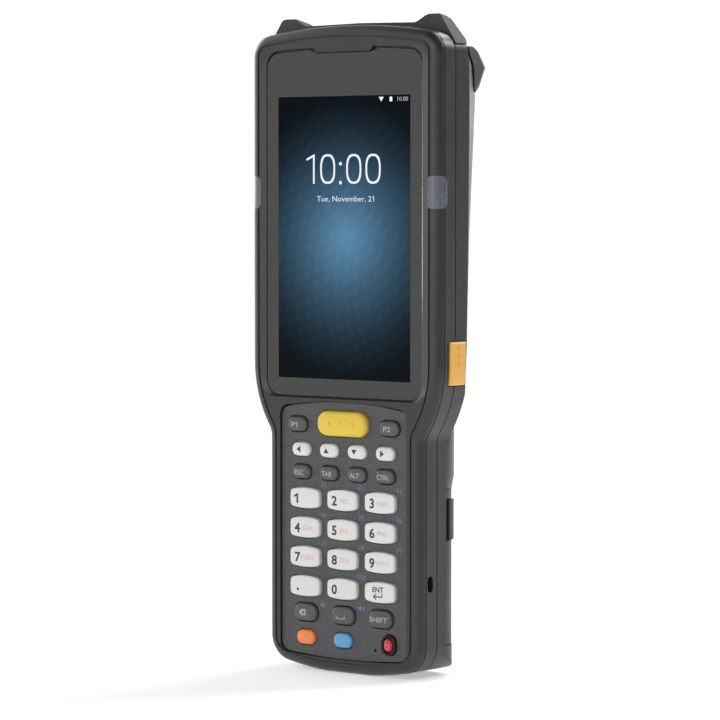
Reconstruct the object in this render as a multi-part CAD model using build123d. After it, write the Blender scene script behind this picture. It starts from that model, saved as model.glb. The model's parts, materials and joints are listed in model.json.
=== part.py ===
from build123d import *
import os
from math import cos, radians, sin, sqrt

# Portable barcode data terminal: an upright handheld with a touch display over a keypad.
# It stands on its lower end. The display faces -Y, +Z is up and X = 0 is its plane of symmetry.
# The origin is under the middle of the body, at the foot. Millimetres throughout.

# ---- Whole body, seen from the front ----
head_half_width = 37.35
grip_half_width = 30.35
body_height = 200.0
top_arch_radius = 210.0
top_corner_radius = 7.0
base_arch_radius = 125.0
base_flat_half = 9.0
base_corner_radius = 8.5
shoulder_z = 96.0
shoulder_radius = 38.0
waist_radius = 4.0
least_round = 0.4

# ---- Layers from front to back ----
overall_depth = 34.2
rear_y = overall_depth / 2
scan_key_proud = 2.15
glass_to_parting = 8.1
rim_proud = 0.6
panel_drop = 0.15
glass_y = scan_key_proud - panel_drop - overall_depth / 2
glass_thickness = 1.1
ledge_thickness = 1.5
rim_y = glass_y - rim_proud
plate_back_y = glass_y + glass_thickness + ledge_thickness
parting_y = glass_y + glass_to_parting
wall = 2.0

# ---- Clearances ----
fit_gap = 0.05
slide_gap = 0.3

# ---- Front housing ----
front_edge_radius = 3.1
crown_step = 0.15
crown_depth = 3.4
groove_inset = 3.3
groove_width = 0.55
groove_depth = 0.4
parting_gap = 0.35
parting_gap_depth = 0.35

# ---- Keypad panel ----
panel_side_margin = 5.25
panel_half_width = grip_half_width - panel_side_margin
panel_low_z = 4.3
panel_high_z = 84.2
panel_corner = 3.2
panel_low_bow = 1.2
panel_high_bow = 1.9
panel_thickness = 1.2
panel_ledge = 1.3
panel_y = glass_y + panel_drop
panel_back_y = panel_y + panel_thickness

# ---- Touch window and display ----
window_side_margin = 6.35
window_top_margin = 6.7
deck_gap = 1.1
window_half_width = head_half_width - window_side_margin
window_low_z = panel_high_z + deck_gap
window_high_z = body_height - window_top_margin
window_corner = 5.0
window_bow = 1.1
bezel_side = 2.3
bezel_top = 1.4
bezel_low = 0.35
tab_half_width = 14.0
tab_tip_half_width = 10.5
tab_reach = 1.6
tab_sink = 0.35
display_side_margin = 2.8
display_low_margin = 2.7
display_high_margin = 12.1
display_half_width = window_half_width - display_side_margin
display_height = window_high_z - window_low_z - display_low_margin - display_high_margin
display_half_height = display_height / 2
display_z = window_low_z + display_low_margin + display_half_height
display_thickness = 2.2
display_gap = 0.4

# ---- Keys ----
key_travel = 0.8
key_gap = 0.3
flange_width = 0.5
flange_thickness = 0.5
flange_rest = 0.15
key_proud = 1.3
key_edge = 0.5
capsule_corner_ratio = 0.46
tile_corner_ratio = 0.26
small_key = (7.2, 4.3)
program_key = (7.6, 4.6)
scan_key = (19.6, 8.3)
number_key = (11.8, 6.5)
wide_key = (9.1, 5.5)
colour_key = (7.2, 4.6)
power_key = (3.2, 4.0)
number_bow = 0.75
small_pitch = 11.1
number_pitch = 14.9
program_x = 18.25
colour_pitch = 14.8
power_x = 17.95
scan_drop = 7.1
program_drop = 7.5
arrow_drop = 15.3
small_row_pitch = 7.0
number_drop = 8.1
number_row_pitch = 9.15
wide_drop = 8.25
colour_drop = 7.75
scan_z = panel_high_z - scan_drop
program_z = panel_high_z - program_drop
arrow_z = panel_high_z - arrow_drop
modifier_z = arrow_z - small_row_pitch
number_top_z = modifier_z - number_drop
wide_z = number_top_z - 3 * number_row_pitch - wide_drop
colour_z = wide_z - colour_drop
ring_width = 1.0
ring_proud = 0.8

# ---- Behind the keypad ----
mat_front_y = panel_back_y + flange_rest + flange_thickness + key_travel + slide_gap
mat_thickness = 0.8
mat_border = 1.2
board_thickness = 1.0
mic_x = 12.4
mic_z = 8.3
mic_hole_radius = 0.45
mic_radius = 1.5
mic_thickness = 1.1

# ---- Side triggers ----
trigger_below = 5.8
trigger_above = 7.4
trigger_low_z = shoulder_z - trigger_below
trigger_high_z = shoulder_z + trigger_above
trigger_front = 5.0
trigger_back = 12.4
trigger_proud = 1.0
trigger_bevel = 0.6
trigger_travel = 0.8
trigger_lip = 0.8
trigger_mark_radius = 0.5
trigger_mark_pitch = 2.4

# ---- Light pipes ----
pipe_rise = 9.0
pipe_length = 10.0
pipe_width = 4.35
pipe_low_z = display_z + pipe_rise
pipe_high_z = pipe_low_z + pipe_length
pipe_inner_x = head_half_width - pipe_width
pipe_depth = 4.0
pipe_back_round = 2.4
pipe_front_round = 1.5

# ---- Rear housing ----
grip_back = 24.4
grip_round = 12.0
foot_round = 4.0
foot_inset = 0.65
scallop_height = 4.2
spine_rise = 7.6
spine_top_z = shoulder_z + spine_rise
side_step = 0.15

# ---- Top bumper ----
cap_thickness = 3.0
cap_seam_drop = 6.4
cap_seam_z = body_height - cap_seam_drop
ear_rise = 2.75
ear_peak_z = body_height + ear_rise
ear_peak_out_inset = 6.2
ear_peak_in_inset = 10.95
ear_inner_inset = 15.55
ear_foot_round = 3.5
ear_peak_round = 2.0
ear_bevel = 0.5
ear_crest = 1.0
ear_shoulder = 4.2
ear_shoulder_drop = 1.55
ear_depth = 6.4
strap_depth = 1.2
strap_rise = 0.7
strap_end_rise = 0.3

# ---- Rear bumpers ----
lump_drops = (20.8, 19.0, 13.0, 8.3, 7.0)

# ---- Scanner ----
scan_window_half_width = 15.5
scan_window_front = 10.2
scan_window_back = 18.4
scan_window_thickness = 1.5
scan_window_drop = 0.5
engine_half_width = 11.0
engine_depth = 10.5
engine_height = 14.5
engine_drop = 9.5
engine_high_z = body_height - engine_drop
engine_low_z = engine_high_z - engine_height

# ---- Inner pieces ----
chassis_front = 6.0
chassis_thickness = 1.2
chassis_low_z = 62.0
chassis_drop = 9.0
chassis_high_z = body_height - chassis_drop
main_board_side_margin = 10.35
main_board_half_width = head_half_width - main_board_side_margin
main_board_low_z = 92.0
main_board_drop = 16.0
main_board_high_z = body_height - main_board_drop
main_board_thickness = 1.1
switch_size = (3.8, 3.0, 6.0)
earpiece_size = (12.0, 2.0, 5.0)
earpiece_drop = 5.7
earpiece_z = window_high_z - earpiece_drop
speaker_radius = 7.0
speaker_thickness = 3.2
speaker_z = 74.0
slot_length = 9.0
slot_width = 1.1
slot_pitch = 2.4
slot_count = 5
gasket_width = 0.6
gasket_depth = 0.6

# ---- Housing screws ----
screw_shank_radius = 1.0
screw_head_radius = 2.2
screw_head_height = 1.6
screw_seat = 2.0
screw_bite = 3.6
boss_radius = 2.4
rear_boss_radius = 3.8
screw_recess_radius = 2.6
high_screw_x = 18.5
high_screw_drop = 13.0
low_screw_x = 21.0
low_screw_rise = 1.0
screw_places = (
    (high_screw_x, body_height - high_screw_drop),
    (low_screw_x, panel_high_z + low_screw_rise),
)

# ---- Battery ----
seam = 12.7
battery_low_z = 10.0
battery_high_z = 57.6
battery_inset = 0.8
core_side_margin = 5.35
core_half_width = grip_half_width - core_side_margin
core_margin = 3.0
cell_side_margin = 4.0
cell_wall = 1.2
bay_floor = 1.5
latch_drop = 3.0
latch_length = 12.3
latch_high_z = battery_high_z - latch_drop
latch_low_z = latch_high_z - latch_length
latch_thickness = 2.4
latch_bevel = 0.4
latch_proud = 0.7
latch_travel = 1.2
latch_low_angle = 8.0
latch_high_angle = 40.0
contact_size = (12.0, 1.6, 4.0)
contact_drop = 9.6
contact_z = battery_high_z - contact_drop

# ---- Sockets ----
tether_front = 3.3
tether_back = 5.9
tether_low_z = 27.0
tether_high_z = 32.0
dock_half_width = 8.0
dock_front = 10.5
dock_back = 15.5
dock_height = 2.4
dock_recess = 0.4


def behind_glass(distance):
    """Y of a layer that lies the given distance behind the front of the touch window."""
    return glass_y + distance


def slab(sketch, y_from, y_to):
    """A sketch drawn in X and Z, thickened from y_from back to y_to."""
    return extrude(Plane.XZ.offset(-y_from) * sketch, amount=y_from - y_to)


def block(x_range, y_range, z_range):
    """A box given by its limits along X, Y and Z."""
    size = [high - low for low, high in (x_range, y_range, z_range)]
    low_corner = Pos(x_range[0], y_range[0], z_range[0])
    return low_corner * Box(*size, align=(Align.MIN, Align.MIN, Align.MIN))


def across(solid):
    """The same solid on the other side of the plane of symmetry."""
    return mirror(solid, about=Plane.YZ)


def faceted(rings):
    """A solid with flat facets between closed rings of points, each ring above the last."""
    faces = [Face(Wire.make_polygon(ring)) for ring in (rings[0], rings[-1])]
    for low, high in zip(rings, rings[1:]):
        for index, start in enumerate(low):
            after = (index + 1) % len(low)
            for corners in ((start, low[after], high[after]), (start, high[after], high[index])):
                faces.append(Face(Wire.make_polygon(corners)))
    return Part() + Solid(Shell(faces))


def bowed_edge(start, middle, end):
    """An edge through three points, straight where the middle one isn't bowed out."""
    if abs(start[1] - middle[1]) < 1e-6:
        return Line(start, end)
    return ThreePointArc(start, middle, end)


def bowed_panel(half_width, low_z, high_z, corner, low_bow=0.0, high_bow=0.0):
    """Upright panel with rounded corners, whose two ends bow outwards on the centre line."""
    side_low = low_z + low_bow
    side_high = high_z - high_bow
    edges = [
        bowed_edge((-half_width, side_low), (0, low_z), (half_width, side_low)),
        Line((half_width, side_low), (half_width, side_high)),
        bowed_edge((half_width, side_high), (0, high_z), (-half_width, side_high)),
        Line((-half_width, side_high), (-half_width, side_low)),
    ]
    face = make_face(edges)
    return fillet(face.vertices(), corner)


def corners_at(face, x, z):
    """The two mirrored corners of a face at plus and minus x."""
    return [v for v in face.vertices() if abs(abs(v.X) - x) < 1e-3 and abs(v.Y - z) < 1e-3]


def body_outline(inset=0.0):
    """The terminal seen from the front: wide head, shoulders, slim grip and bowed ends."""
    head = head_half_width - inset
    grip = grip_half_width - inset
    base_radius = base_arch_radius - inset
    base_centre = sqrt(base_arch_radius**2 - base_flat_half**2)
    flat = sqrt(base_radius**2 - (base_centre - inset) ** 2)
    base_side = base_centre - sqrt(base_radius**2 - grip**2)
    shoulder_x = head_half_width - shoulder_radius
    bend = shoulder_radius - inset
    waist = shoulder_z - sqrt(bend**2 - (grip - shoulder_x) ** 2)
    sweep = (shoulder_z - waist) / bend
    half_turn = 0.5 * sweep
    mid_x = shoulder_x + bend * sqrt(1 - half_turn**2)
    mid_z = shoulder_z - bend * half_turn
    top_centre = body_height - top_arch_radius
    top_radius = top_arch_radius - inset
    top_side = top_centre + sqrt(top_radius**2 - head**2)
    base_mid_x = 0.5 * (flat + grip)
    base_mid = base_centre - sqrt(base_radius**2 - base_mid_x**2)
    edges = [
        Line((-flat, inset), (flat, inset)),
        ThreePointArc((flat, inset), (base_mid_x, base_mid), (grip, base_side)),
        Line((grip, base_side), (grip, waist)),
        ThreePointArc((grip, waist), (mid_x, mid_z), (head, shoulder_z)),
        Line((head, shoulder_z), (head, top_side)),
        ThreePointArc((head, top_side), (0, top_centre + top_radius), (-head, top_side)),
        Line((-head, top_side), (-head, shoulder_z)),
        ThreePointArc((-head, shoulder_z), (-mid_x, mid_z), (-grip, waist)),
        Line((-grip, waist), (-grip, base_side)),
        ThreePointArc((-grip, base_side), (-base_mid_x, base_mid), (-flat, inset)),
    ]
    face = make_face(edges)
    face = fillet(corners_at(face, grip, base_side), max(base_corner_radius - inset, least_round))
    face = fillet(corners_at(face, grip, waist), max(waist_radius + inset, least_round))
    return fillet(corners_at(face, head, top_side), max(top_corner_radius - inset, least_round))


def body_slab(inset, y_from, y_to):
    """The body outline, inset from the skin, as a solid between two depths."""
    return slab(body_outline(inset), y_from, y_to)


def window_outline(grow=0.0):
    """Edge of the touch window."""
    return bowed_panel(
        window_half_width + grow,
        window_low_z - grow,
        window_high_z + grow,
        window_corner + grow,
        high_bow=window_bow,
    )


def panel_outline(grow=0.0):
    """Edge of the keypad panel."""
    return bowed_panel(
        panel_half_width + grow,
        panel_low_z - grow,
        panel_high_z + grow,
        panel_corner + grow,
        panel_low_bow,
        panel_high_bow,
    )


def tab_outline(grow=0.0):
    """The lip of the front housing that dips into the top of the touch window."""
    tip_z = window_high_z - tab_reach - grow
    root_z = window_high_z + bezel_top
    root = tab_half_width + grow
    tip = tab_tip_half_width + grow
    rise = tab_half_width - tab_tip_half_width
    right = [(tip, tip_z), (root, tip_z + rise), (root, root_z)]
    left = [(-x, z) for x, z in reversed(right)]
    return make_face(Polyline(*right, *left, close=True))


# ---- Keys ----

def key_outline(size, bow, grow=0.0):
    """Face of a key, centred on the origin: a capsule, or a tile with bowed ends.

    Each round corner is drawn as two flats, because the shape repeats all over the keypad.
    """
    width, height = size
    corner = (tile_corner_ratio * height if bow else capsule_corner_ratio * min(size)) + grow
    corner_x = width / 2 + grow - corner
    side_z = height / 2 + grow - bow
    turns = [radians(angle) for angle in (0, 45, 90)]
    upper = [(corner_x + corner * cos(a), side_z - corner + corner * sin(a)) for a in turns]
    right = [(x, -z) for x, z in reversed(upper)] + upper
    left = [(-x, -z) for x, z in right]
    edges = [
        Polyline(*right),
        bowed_edge(right[-1], (0, side_z + bow), left[0]),
        Polyline(*left),
        bowed_edge(left[-1], (0, -side_z - bow), right[0]),
    ]
    return make_face(edges)


def key_places():
    """Name, centre, size, bow and height above the panel of every key."""
    places = {
        "key_scan": (0, scan_z, scan_key, 0, scan_key_proud),
        "key_p1": (-program_x, program_z, program_key, 0, key_proud),
        "key_p2": (program_x, program_z, program_key, 0, key_proud),
        "key_power": (power_x, colour_z, power_key, 0, key_proud),
        "key_orange": (-colour_pitch, colour_z, colour_key, 0, key_proud),
        "key_blue": (0, colour_z, colour_key, 0, key_proud),
    }
    for row_z, names in (
        (arrow_z, ("left", "up", "down", "right")),
        (modifier_z, ("esc", "tab", "alt", "ctrl")),
    ):
        for column, name in enumerate(names):
            x = (column - 1.5) * small_pitch
            places["key_" + name] = (x, row_z, small_key, 0, key_proud)
    numbers = (("1", "2", "3"), ("4", "5", "6"), ("7", "8", "9"), ("point", "0", "enter"))
    for row, names in enumerate(numbers):
        for column, name in enumerate(names):
            x = (column - 1) * number_pitch
            z = number_top_z - row * number_row_pitch
            places["key_" + name] = (x, z, number_key, number_bow, key_proud)
    for column, name in enumerate(("backspace", "space", "shift")):
        places["key_" + name] = ((column - 1) * number_pitch, wide_z, wide_key, 0, key_proud)
    return places


def key(x, z, size, bow, proud):
    """A keycap with a bevelled crown and a lip that holds it behind the panel."""
    crown_y = panel_y - proud
    lip_y = panel_back_y + flange_rest
    cap = slab(key_outline(size, bow), crown_y, lip_y)
    cap = chamfer(cap.edges().group_by(Axis.Y)[0], key_edge)
    lip = Rectangle(size[0] + 2 * flange_width, size[1] + 2 * flange_width)
    return Pos(x, 0, z) * (cap + slab(lip, lip_y, lip_y + flange_thickness))


def key_holes(grow, y_from, y_to):
    """The openings that the keys pass through, larger than each key all round."""
    holes = Part()
    for x, z, size, bow, _ in key_places().values():
        holes += Pos(x, 0, z) * slab(key_outline(size, bow, grow), y_from, y_to)
    return holes


def power_ring_space(grow):
    """The opening in the panel for the ring around the power key."""
    width, height = power_key
    ring_size = (width + 2 * ring_width, height + 2 * ring_width)
    outline = key_outline(ring_size, 0, key_gap + grow)
    return Pos(power_x, 0, colour_z) * slab(outline, panel_y - ring_proud, panel_back_y)


def power_key_ring():
    """Raised ring that shields the power key."""
    hole = Pos(power_x, 0, colour_z) * slab(key_outline(power_key, 0, key_gap), rim_y - ring_proud, panel_back_y)
    return power_ring_space(-fit_gap) - hole


def mic_hole():
    """Sound hole in the panel in front of the microphone."""
    axis = Plane.XZ.offset(-panel_back_y) * Pos(mic_x, mic_z)
    return axis * Cylinder(mic_hole_radius, 3 * panel_thickness)


def keypad_panel():
    """Textured plate that frames the keys."""
    plate = slab(panel_outline(-fit_gap), panel_y, panel_back_y)
    return plate - key_holes(key_gap, panel_y, panel_back_y) - power_ring_space(0) - mic_hole()


# ---- Front housing ----

def crown():
    """Front of the body: the rounded outer edge and the rim, before anything is let into it."""
    front = body_slab(crown_step, rim_y, rim_y + crown_depth)
    front = fillet(front.edges().group_by(Axis.Y)[0], front_edge_radius)
    gap_y = parting_y - parting_gap
    side = body_slab(0, rim_y + crown_depth, gap_y)
    return front + side + body_slab(parting_gap_depth, gap_y, parting_y)


def rim_groove():
    """Narrow groove that runs round the rim, parallel to the skin."""
    outer = body_slab(groove_inset, rim_y, rim_y + groove_depth)
    return outer - body_slab(groove_inset + groove_width, rim_y, rim_y + groove_depth)


def bezel_slope():
    """Sloping band from the edge of the touch window up to the rim."""
    foot = Plane.XZ.offset(-glass_y) * window_outline()
    lip = bowed_panel(
        window_half_width + bezel_side,
        window_low_z - bezel_low,
        window_high_z + bezel_top,
        window_corner + bezel_top,
        high_bow=window_bow,
    )
    return loft([foot, Plane.XZ.offset(-rim_y) * lip], ruled=True)


def display_opening(grow=0.0):
    """The display seen from the front."""
    half_height = display_half_height + grow
    tall = Rectangle(2 * (display_half_width + grow), 2 * half_height)
    return Pos(0, display_z) * tall


def screw_posts(radius, y_from, y_to):
    """Eight-sided posts round the housing screws, between two depths."""
    posts = Part()
    for x, z in screw_places:
        for side in (-1, 1):
            posts += slab(Pos(side * x, z) * RegularPolygon(radius, 8), y_from, y_to)
    return posts


def screw_bores(radius, y_from, y_to):
    """Round bores on the axes of the housing screws, between two depths."""
    bores = Part()
    for x, z in screw_places:
        for side in (-1, 1):
            bores += slab(Pos(side * x, z) * Circle(radius), y_from, y_to)
    return bores


def front_bosses():
    """Posts behind the front plate that the housing screws bite into."""
    pilots = screw_bores(screw_shank_radius + fit_gap, parting_y - screw_bite, parting_y)
    return screw_posts(boss_radius, plate_back_y, parting_y) - pilots


def front_housing():
    """Front shell: rim, seats for the touch window and the keypad panel, and screw posts."""
    shell = crown() - body_slab(wall, plate_back_y, parting_y)
    shell -= rim_groove()
    shell -= bezel_slope()
    shell -= slab(window_outline(), glass_y, glass_y + glass_thickness)
    shell += slab(tab_outline(), rim_y + tab_sink, glass_y + glass_thickness)
    shell -= slab(display_opening(display_gap), glass_y, plate_back_y)
    shell -= slab(panel_outline(), rim_y, panel_back_y)
    shell -= slab(panel_outline(-panel_ledge), panel_back_y, plate_back_y)
    shell += front_bosses()
    shell -= light_pipe_space(0) + across(light_pipe_space(0))
    shell -= trigger_pocket() + across(trigger_pocket())
    return shell - tether_slot()


def touch_window():
    """Glass over the display, with a notch for the lip of the housing."""
    outline = window_outline(-fit_gap) - tab_outline(fit_gap)
    return slab(outline, glass_y, glass_y + glass_thickness)


def display_module():
    """Display bonded to the back of the glass."""
    front = glass_y + glass_thickness
    return slab(display_opening(), front, front + display_thickness)


def light_pipe_space(grow):
    """The cut in the edge of the head that a light pipe fills."""
    x_range = (pipe_inner_x - grow, head_half_width + wall)
    y_range = (rim_y - wall, behind_glass(pipe_depth) + grow)
    cut = block(x_range, y_range, (pipe_low_z - grow, pipe_high_z + grow))
    cut = fillet(cut.edges().filter_by(Axis.Y).group_by(Axis.X)[0], pipe_front_round)
    return fillet(cut.edges().filter_by(Axis.X).group_by(Axis.Y)[-1], pipe_back_round)


def light_pipe():
    """Translucent status light that wraps round the right edge of the head."""
    solid = crown() & light_pipe_space(-fit_gap)
    return solid - body_slab(wall, plate_back_y, parting_y) - bezel_slope()


def gasket_ring():
    """Seal that lines the joint of the two shells from inside."""
    ring = body_slab(wall, parting_y - gasket_depth, parting_y)
    ring -= body_slab(wall + gasket_width, parting_y - gasket_depth, parting_y)
    return ring - trigger_pocket() - across(trigger_pocket())


def tether_slot():
    """Upright slot through the right side of the grip, for a stylus tether."""
    middle_z = 0.5 * (tether_low_z + tether_high_z)
    middle_y = behind_glass(0.5 * (tether_front + tether_back))
    shape = SlotOverall(tether_high_z - tether_low_z, tether_back - tether_front, rotation=90)
    place = Plane.YZ.offset(grip_half_width - 2 * wall) * Pos(middle_y, middle_z)
    return extrude(place * shape, amount=3 * wall)


# ---- Side triggers ----

def trigger_band(outer, inner, margin):
    """A strip that follows the skin of the head beside the trigger."""
    front = behind_glass(trigger_front) - min(margin, slide_gap)
    back = behind_glass(trigger_back) + min(margin, slide_gap)
    band = body_slab(outer, front, back) - body_slab(inner, front, back)
    z_range = (trigger_low_z - margin, trigger_high_z + margin)
    return band & block((0, 2 * head_half_width), (front, back), z_range)


def trigger_pocket():
    """Opening in the right side for the scan trigger, wider inside the wall for its lip."""
    lip_inset = wall + slide_gap
    innermost = lip_inset + trigger_lip + trigger_travel + slide_gap
    opening = trigger_band(-2 * trigger_proud, innermost, slide_gap)
    return opening + trigger_band(wall, innermost, trigger_lip + slide_gap)


def side_trigger():
    """Scan trigger on the right side: a bevelled bar with three raised marks."""
    lip_inset = wall + slide_gap
    bar = trigger_band(-trigger_proud, lip_inset, 0)
    skin_edges = [edge for edge in bar.edges() if edge.center().X > head_half_width]
    rim_edges = [edge for edge in skin_edges if abs(edge.center().Z - shoulder_z) > least_round / 10]
    bar = chamfer(rim_edges, trigger_bevel)
    bar += trigger_lip_band(lip_inset)
    middle_y = behind_glass(0.5 * (trigger_front + trigger_back))
    lowest_z = shoulder_z + trigger_mark_radius
    for index in range(3):
        place = Pos(head_half_width + trigger_proud, middle_y, lowest_z + index * trigger_mark_pitch)
        bar += place * Rot(45, 0, 0) * Box(trigger_mark_radius, 2 * trigger_mark_radius, 2 * trigger_mark_radius)
    return bar


def trigger_lip_band(lip_inset):
    """Lip behind the wall that holds the trigger in, above and below its opening."""
    front = behind_glass(trigger_front)
    back = behind_glass(trigger_back)
    band = body_slab(lip_inset, front, back) - body_slab(lip_inset + trigger_lip, front, back)
    z_range = (trigger_low_z - trigger_lip, trigger_high_z + trigger_lip)
    return band & block((0, 2 * head_half_width), (front, back), z_range)


def trigger_switches():
    """A switch behind each trigger, on the back of the chassis."""
    width, depth, height = switch_size
    outer_x = head_half_width - wall - slide_gap - trigger_lip - trigger_travel - slide_gap
    seat = behind_glass(chassis_front + chassis_thickness)
    middle_z = 0.5 * (trigger_low_z + trigger_high_z)
    z_range = (middle_z - height / 2, middle_z + height / 2)
    switch = block((outer_x - width, outer_x), (seat, seat + depth), z_range)
    return switch + across(switch)


# ---- Rear housing ----

# Right half of the back of the head at several heights. Each row gives the height, the depth
# where the side wall ends, then how far in from the side and how deep the inner edge of the
# side facet lies, and the same for the edge of the flat back. Depths are behind the glass.
head_rows = (
    (shoulder_z - 24.0, 12.2, 6.35, 13.5, 18.85, 24.2),
    (spine_top_z, 13.6, 1.85, 16.0, 13.35, 24.4),
    (display_z, 14.2, 2.85, 18.4, 10.35, 26.0),
    (body_height - 22.0, 14.8, 4.85, 24.0, 9.85, 28.4),
    (body_height - 13.0, 14.6, 4.35, 22.0, 10.35, 27.0),
    (body_height - 6.0, 13.5, 3.65, 17.4, 11.35, 22.0),
    (body_height + 4.0, 12.0, 3.75, 14.6, 13.35, 18.0),
)


def head_ring(row, inset):
    """Right half of the head behind the parting line, at one height."""
    z, side_depth, facet_inset, facet_depth, back_inset, back_depth = row
    skin = head_half_width - inset
    front_y = parting_y - 2 * inset
    side_y = behind_glass(side_depth) - inset
    facet_y = behind_glass(facet_depth) - inset
    back_y = behind_glass(back_depth) - inset
    profile = [
        (0, front_y),
        (skin + wall, front_y),
        (skin + wall, side_y),
        (skin - side_step, side_y),
        (skin - facet_inset, facet_y),
        (skin - back_inset, back_y),
        (0, back_y),
    ]
    return [(x, y, z) for x, y in profile]


def head_flanks(inset):
    """Both halves of the faceted back of the head, open at the top and bottom."""
    half = faceted([head_ring(row, inset) for row in head_rows])
    return half + across(half)


def head_block(inset):
    """The faceted back of the head, drawn inset mm inside its surface."""
    return head_flanks(inset) & body_slab(inset, parting_y - 2 * inset, rear_y)


def spine_outline(inset, front):
    """The rounded back of the grip seen from above."""
    half = grip_half_width - inset
    back = behind_glass(grip_back) - inset
    outline = Pos(0, 0.5 * (front + back)) * Rectangle(2 * half, back - front)
    return fillet(corners_at(outline, half, back), grip_round - inset)


def spine(inset, low_z, high_z, front):
    """The rounded back of the grip between two heights."""
    return Pos(0, 0, low_z) * extrude(spine_outline(inset, front), amount=high_z - low_z)


def behind_seam(low_z, high_z):
    """Everything behind the battery's front seam between two heights."""
    far = 2 * head_half_width
    return block((-far, far), (behind_glass(seam), rear_y), (low_z, high_z))


def scallop():
    """Strip that is cut from the grip above the battery, so that it falls to the battery's back."""
    low_z = battery_high_z
    high_z = low_z + scallop_height
    low = Pos(0, 0, low_z) * spine_outline(battery_inset, parting_y)
    high = Pos(0, 0, high_z) * spine_outline(0, parting_y)
    return behind_seam(low_z, high_z) - loft([low, high], ruled=True)


def foot_trim():
    """Strip that is cut from the foot, so that it is level with the battery and round behind."""
    foot = spine(foot_inset, 0, battery_low_z, parting_y)
    back_edge = foot.edges().group_by(Axis.Z)[0].group_by(Axis.Y)[-1]
    return behind_seam(0, battery_low_z) - fillet(back_edge, foot_round)


def rear_skin():
    """Outside of the back of the terminal, without the battery taken out."""
    bar = spine(0, 0, spine_top_z, parting_y) - scallop() - foot_trim()
    bar &= body_slab(0, parting_y, rear_y)
    return bar + head_block(0) - block_in_front()


def block_in_front():
    """Everything in front of the parting line."""
    far = 2 * head_half_width
    return block((-far, far), (-overall_depth, parting_y), (-wall, body_height + overall_depth))


def cap_space():
    """The strip over the top of the head that the top bumper covers."""
    far = 2 * head_half_width
    above = block((-far, far), (parting_y, rear_y), (cap_seam_z, body_height + overall_depth))
    return above - body_slab(cap_thickness, parting_y, rear_y)


def battery_space():
    """Room in the back of the grip for the battery pack: the open back and the bay."""
    far = 2 * grip_half_width
    z_range = (battery_low_z - slide_gap, battery_high_z + slide_gap)
    open_back = block((-far, far), (behind_glass(seam) - slide_gap / 2, rear_y), z_range)
    bay_half = core_half_width + slide_gap
    bay_z = (battery_low_z + core_margin - slide_gap, battery_high_z - core_margin + slide_gap)
    return open_back + block((-bay_half, bay_half), (parting_y + bay_floor, rear_y), bay_z)


def rear_screw_holes():
    """Clearance holes with deep recesses for the screw heads."""
    holes = screw_bores(screw_shank_radius + fit_gap, parting_y, rear_y)
    return holes + screw_bores(screw_recess_radius, parting_y + screw_seat, rear_y)


def speaker_slots():
    """Grille over the loudspeaker."""
    slots = Part()
    first = speaker_z - 0.5 * (slot_count - 1) * slot_pitch
    for index in range(slot_count):
        shape = Pos(0, first + index * slot_pitch) * Rectangle(slot_length, slot_width)
        slots += slab(shape, behind_glass(grip_back) - 2 * wall, rear_y)
    return slots


def scan_window_space(grow):
    """Seat for the scan window in the top of the head."""
    half = scan_window_half_width + grow
    y_range = (behind_glass(scan_window_front) - grow, behind_glass(scan_window_back) + grow)
    top_z = body_height - cap_thickness - scan_window_drop
    plate = block((-half, half), y_range, (top_z - scan_window_thickness, top_z + 2 * wall))
    return plate


def dock_space(grow):
    """Recess in the foot for the charging contacts."""
    half = dock_half_width + grow
    y_range = (behind_glass(dock_front) - grow, behind_glass(dock_back) + grow)
    return block((-half, half), y_range, (-wall, dock_recess + dock_height))


def rear_housing():
    """Rear shell: faceted head, rounded grip, battery bay, speaker grille and screw posts."""
    outside = rear_skin()
    hollow_low = battery_high_z + slide_gap + wall
    hollow = spine(wall, hollow_low, spine_top_z, parting_y - wall) + head_block(wall)
    hollow &= body_slab(wall, parting_y - wall, rear_y)
    far = 2 * head_half_width
    hollow -= block((-far, far), (-overall_depth, overall_depth), (0, hollow_low))
    roof = block((-far, far), (-overall_depth, overall_depth), (cap_seam_z - wall, 2 * body_height))
    hollow -= roof - body_slab(cap_thickness + wall, -overall_depth, overall_depth)
    shell = outside - hollow
    shell += screw_posts(rear_boss_radius, parting_y, rear_y) & outside
    shell -= rear_screw_holes()
    shell -= cap_space()
    shell -= battery_space()
    shell -= speaker_slots()
    shell -= scan_window_space(fit_gap) + scanner_way()
    shell -= trigger_pocket() + across(trigger_pocket())
    return shell - dock_space(0)


def scanner_way():
    """Opening under the scan window."""
    half = scan_window_half_width - wall / 2
    y_range = (behind_glass(scan_window_front) + wall / 2, behind_glass(scan_window_back) - wall / 2)
    return block((-half, half), y_range, (engine_high_z, body_height))


# ---- Bumpers ----

def ear_outline():
    """The top bumper seen from the front: a flat strap that rises to an ear at each corner."""
    inner = (head_half_width - ear_inner_inset, body_height + strap_end_rise)
    peak_in = (head_half_width - ear_peak_in_inset, ear_peak_z)
    peak_out = (head_half_width - ear_peak_out_inset, ear_peak_z)
    right = [(0, body_height + strap_rise), inner, peak_in, peak_out, (head_half_width, cap_seam_z)]
    left = [(-x, z) for x, z in reversed(right[1:])]
    outline = make_face(Polyline(*right, *left, close=True))
    outline = fillet(corners_at(outline, *inner), ear_foot_round)
    outline = fillet(corners_at(outline, *peak_in), ear_peak_round)
    return fillet(corners_at(outline, *peak_out), ear_peak_round)


def ear_profile():
    """The top bumper seen from the side, with the slope down the back of its ears."""
    points = [
        (parting_y, cap_seam_z),
        (parting_y, ear_peak_z - ear_bevel),
        (parting_y + ear_bevel, ear_peak_z),
        (parting_y + ear_crest, ear_peak_z),
        (parting_y + ear_shoulder, ear_peak_z - ear_shoulder_drop),
        (parting_y + ear_depth, cap_seam_z),
    ]
    return make_face(Plane.YZ * Polyline(*points, close=True))


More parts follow.
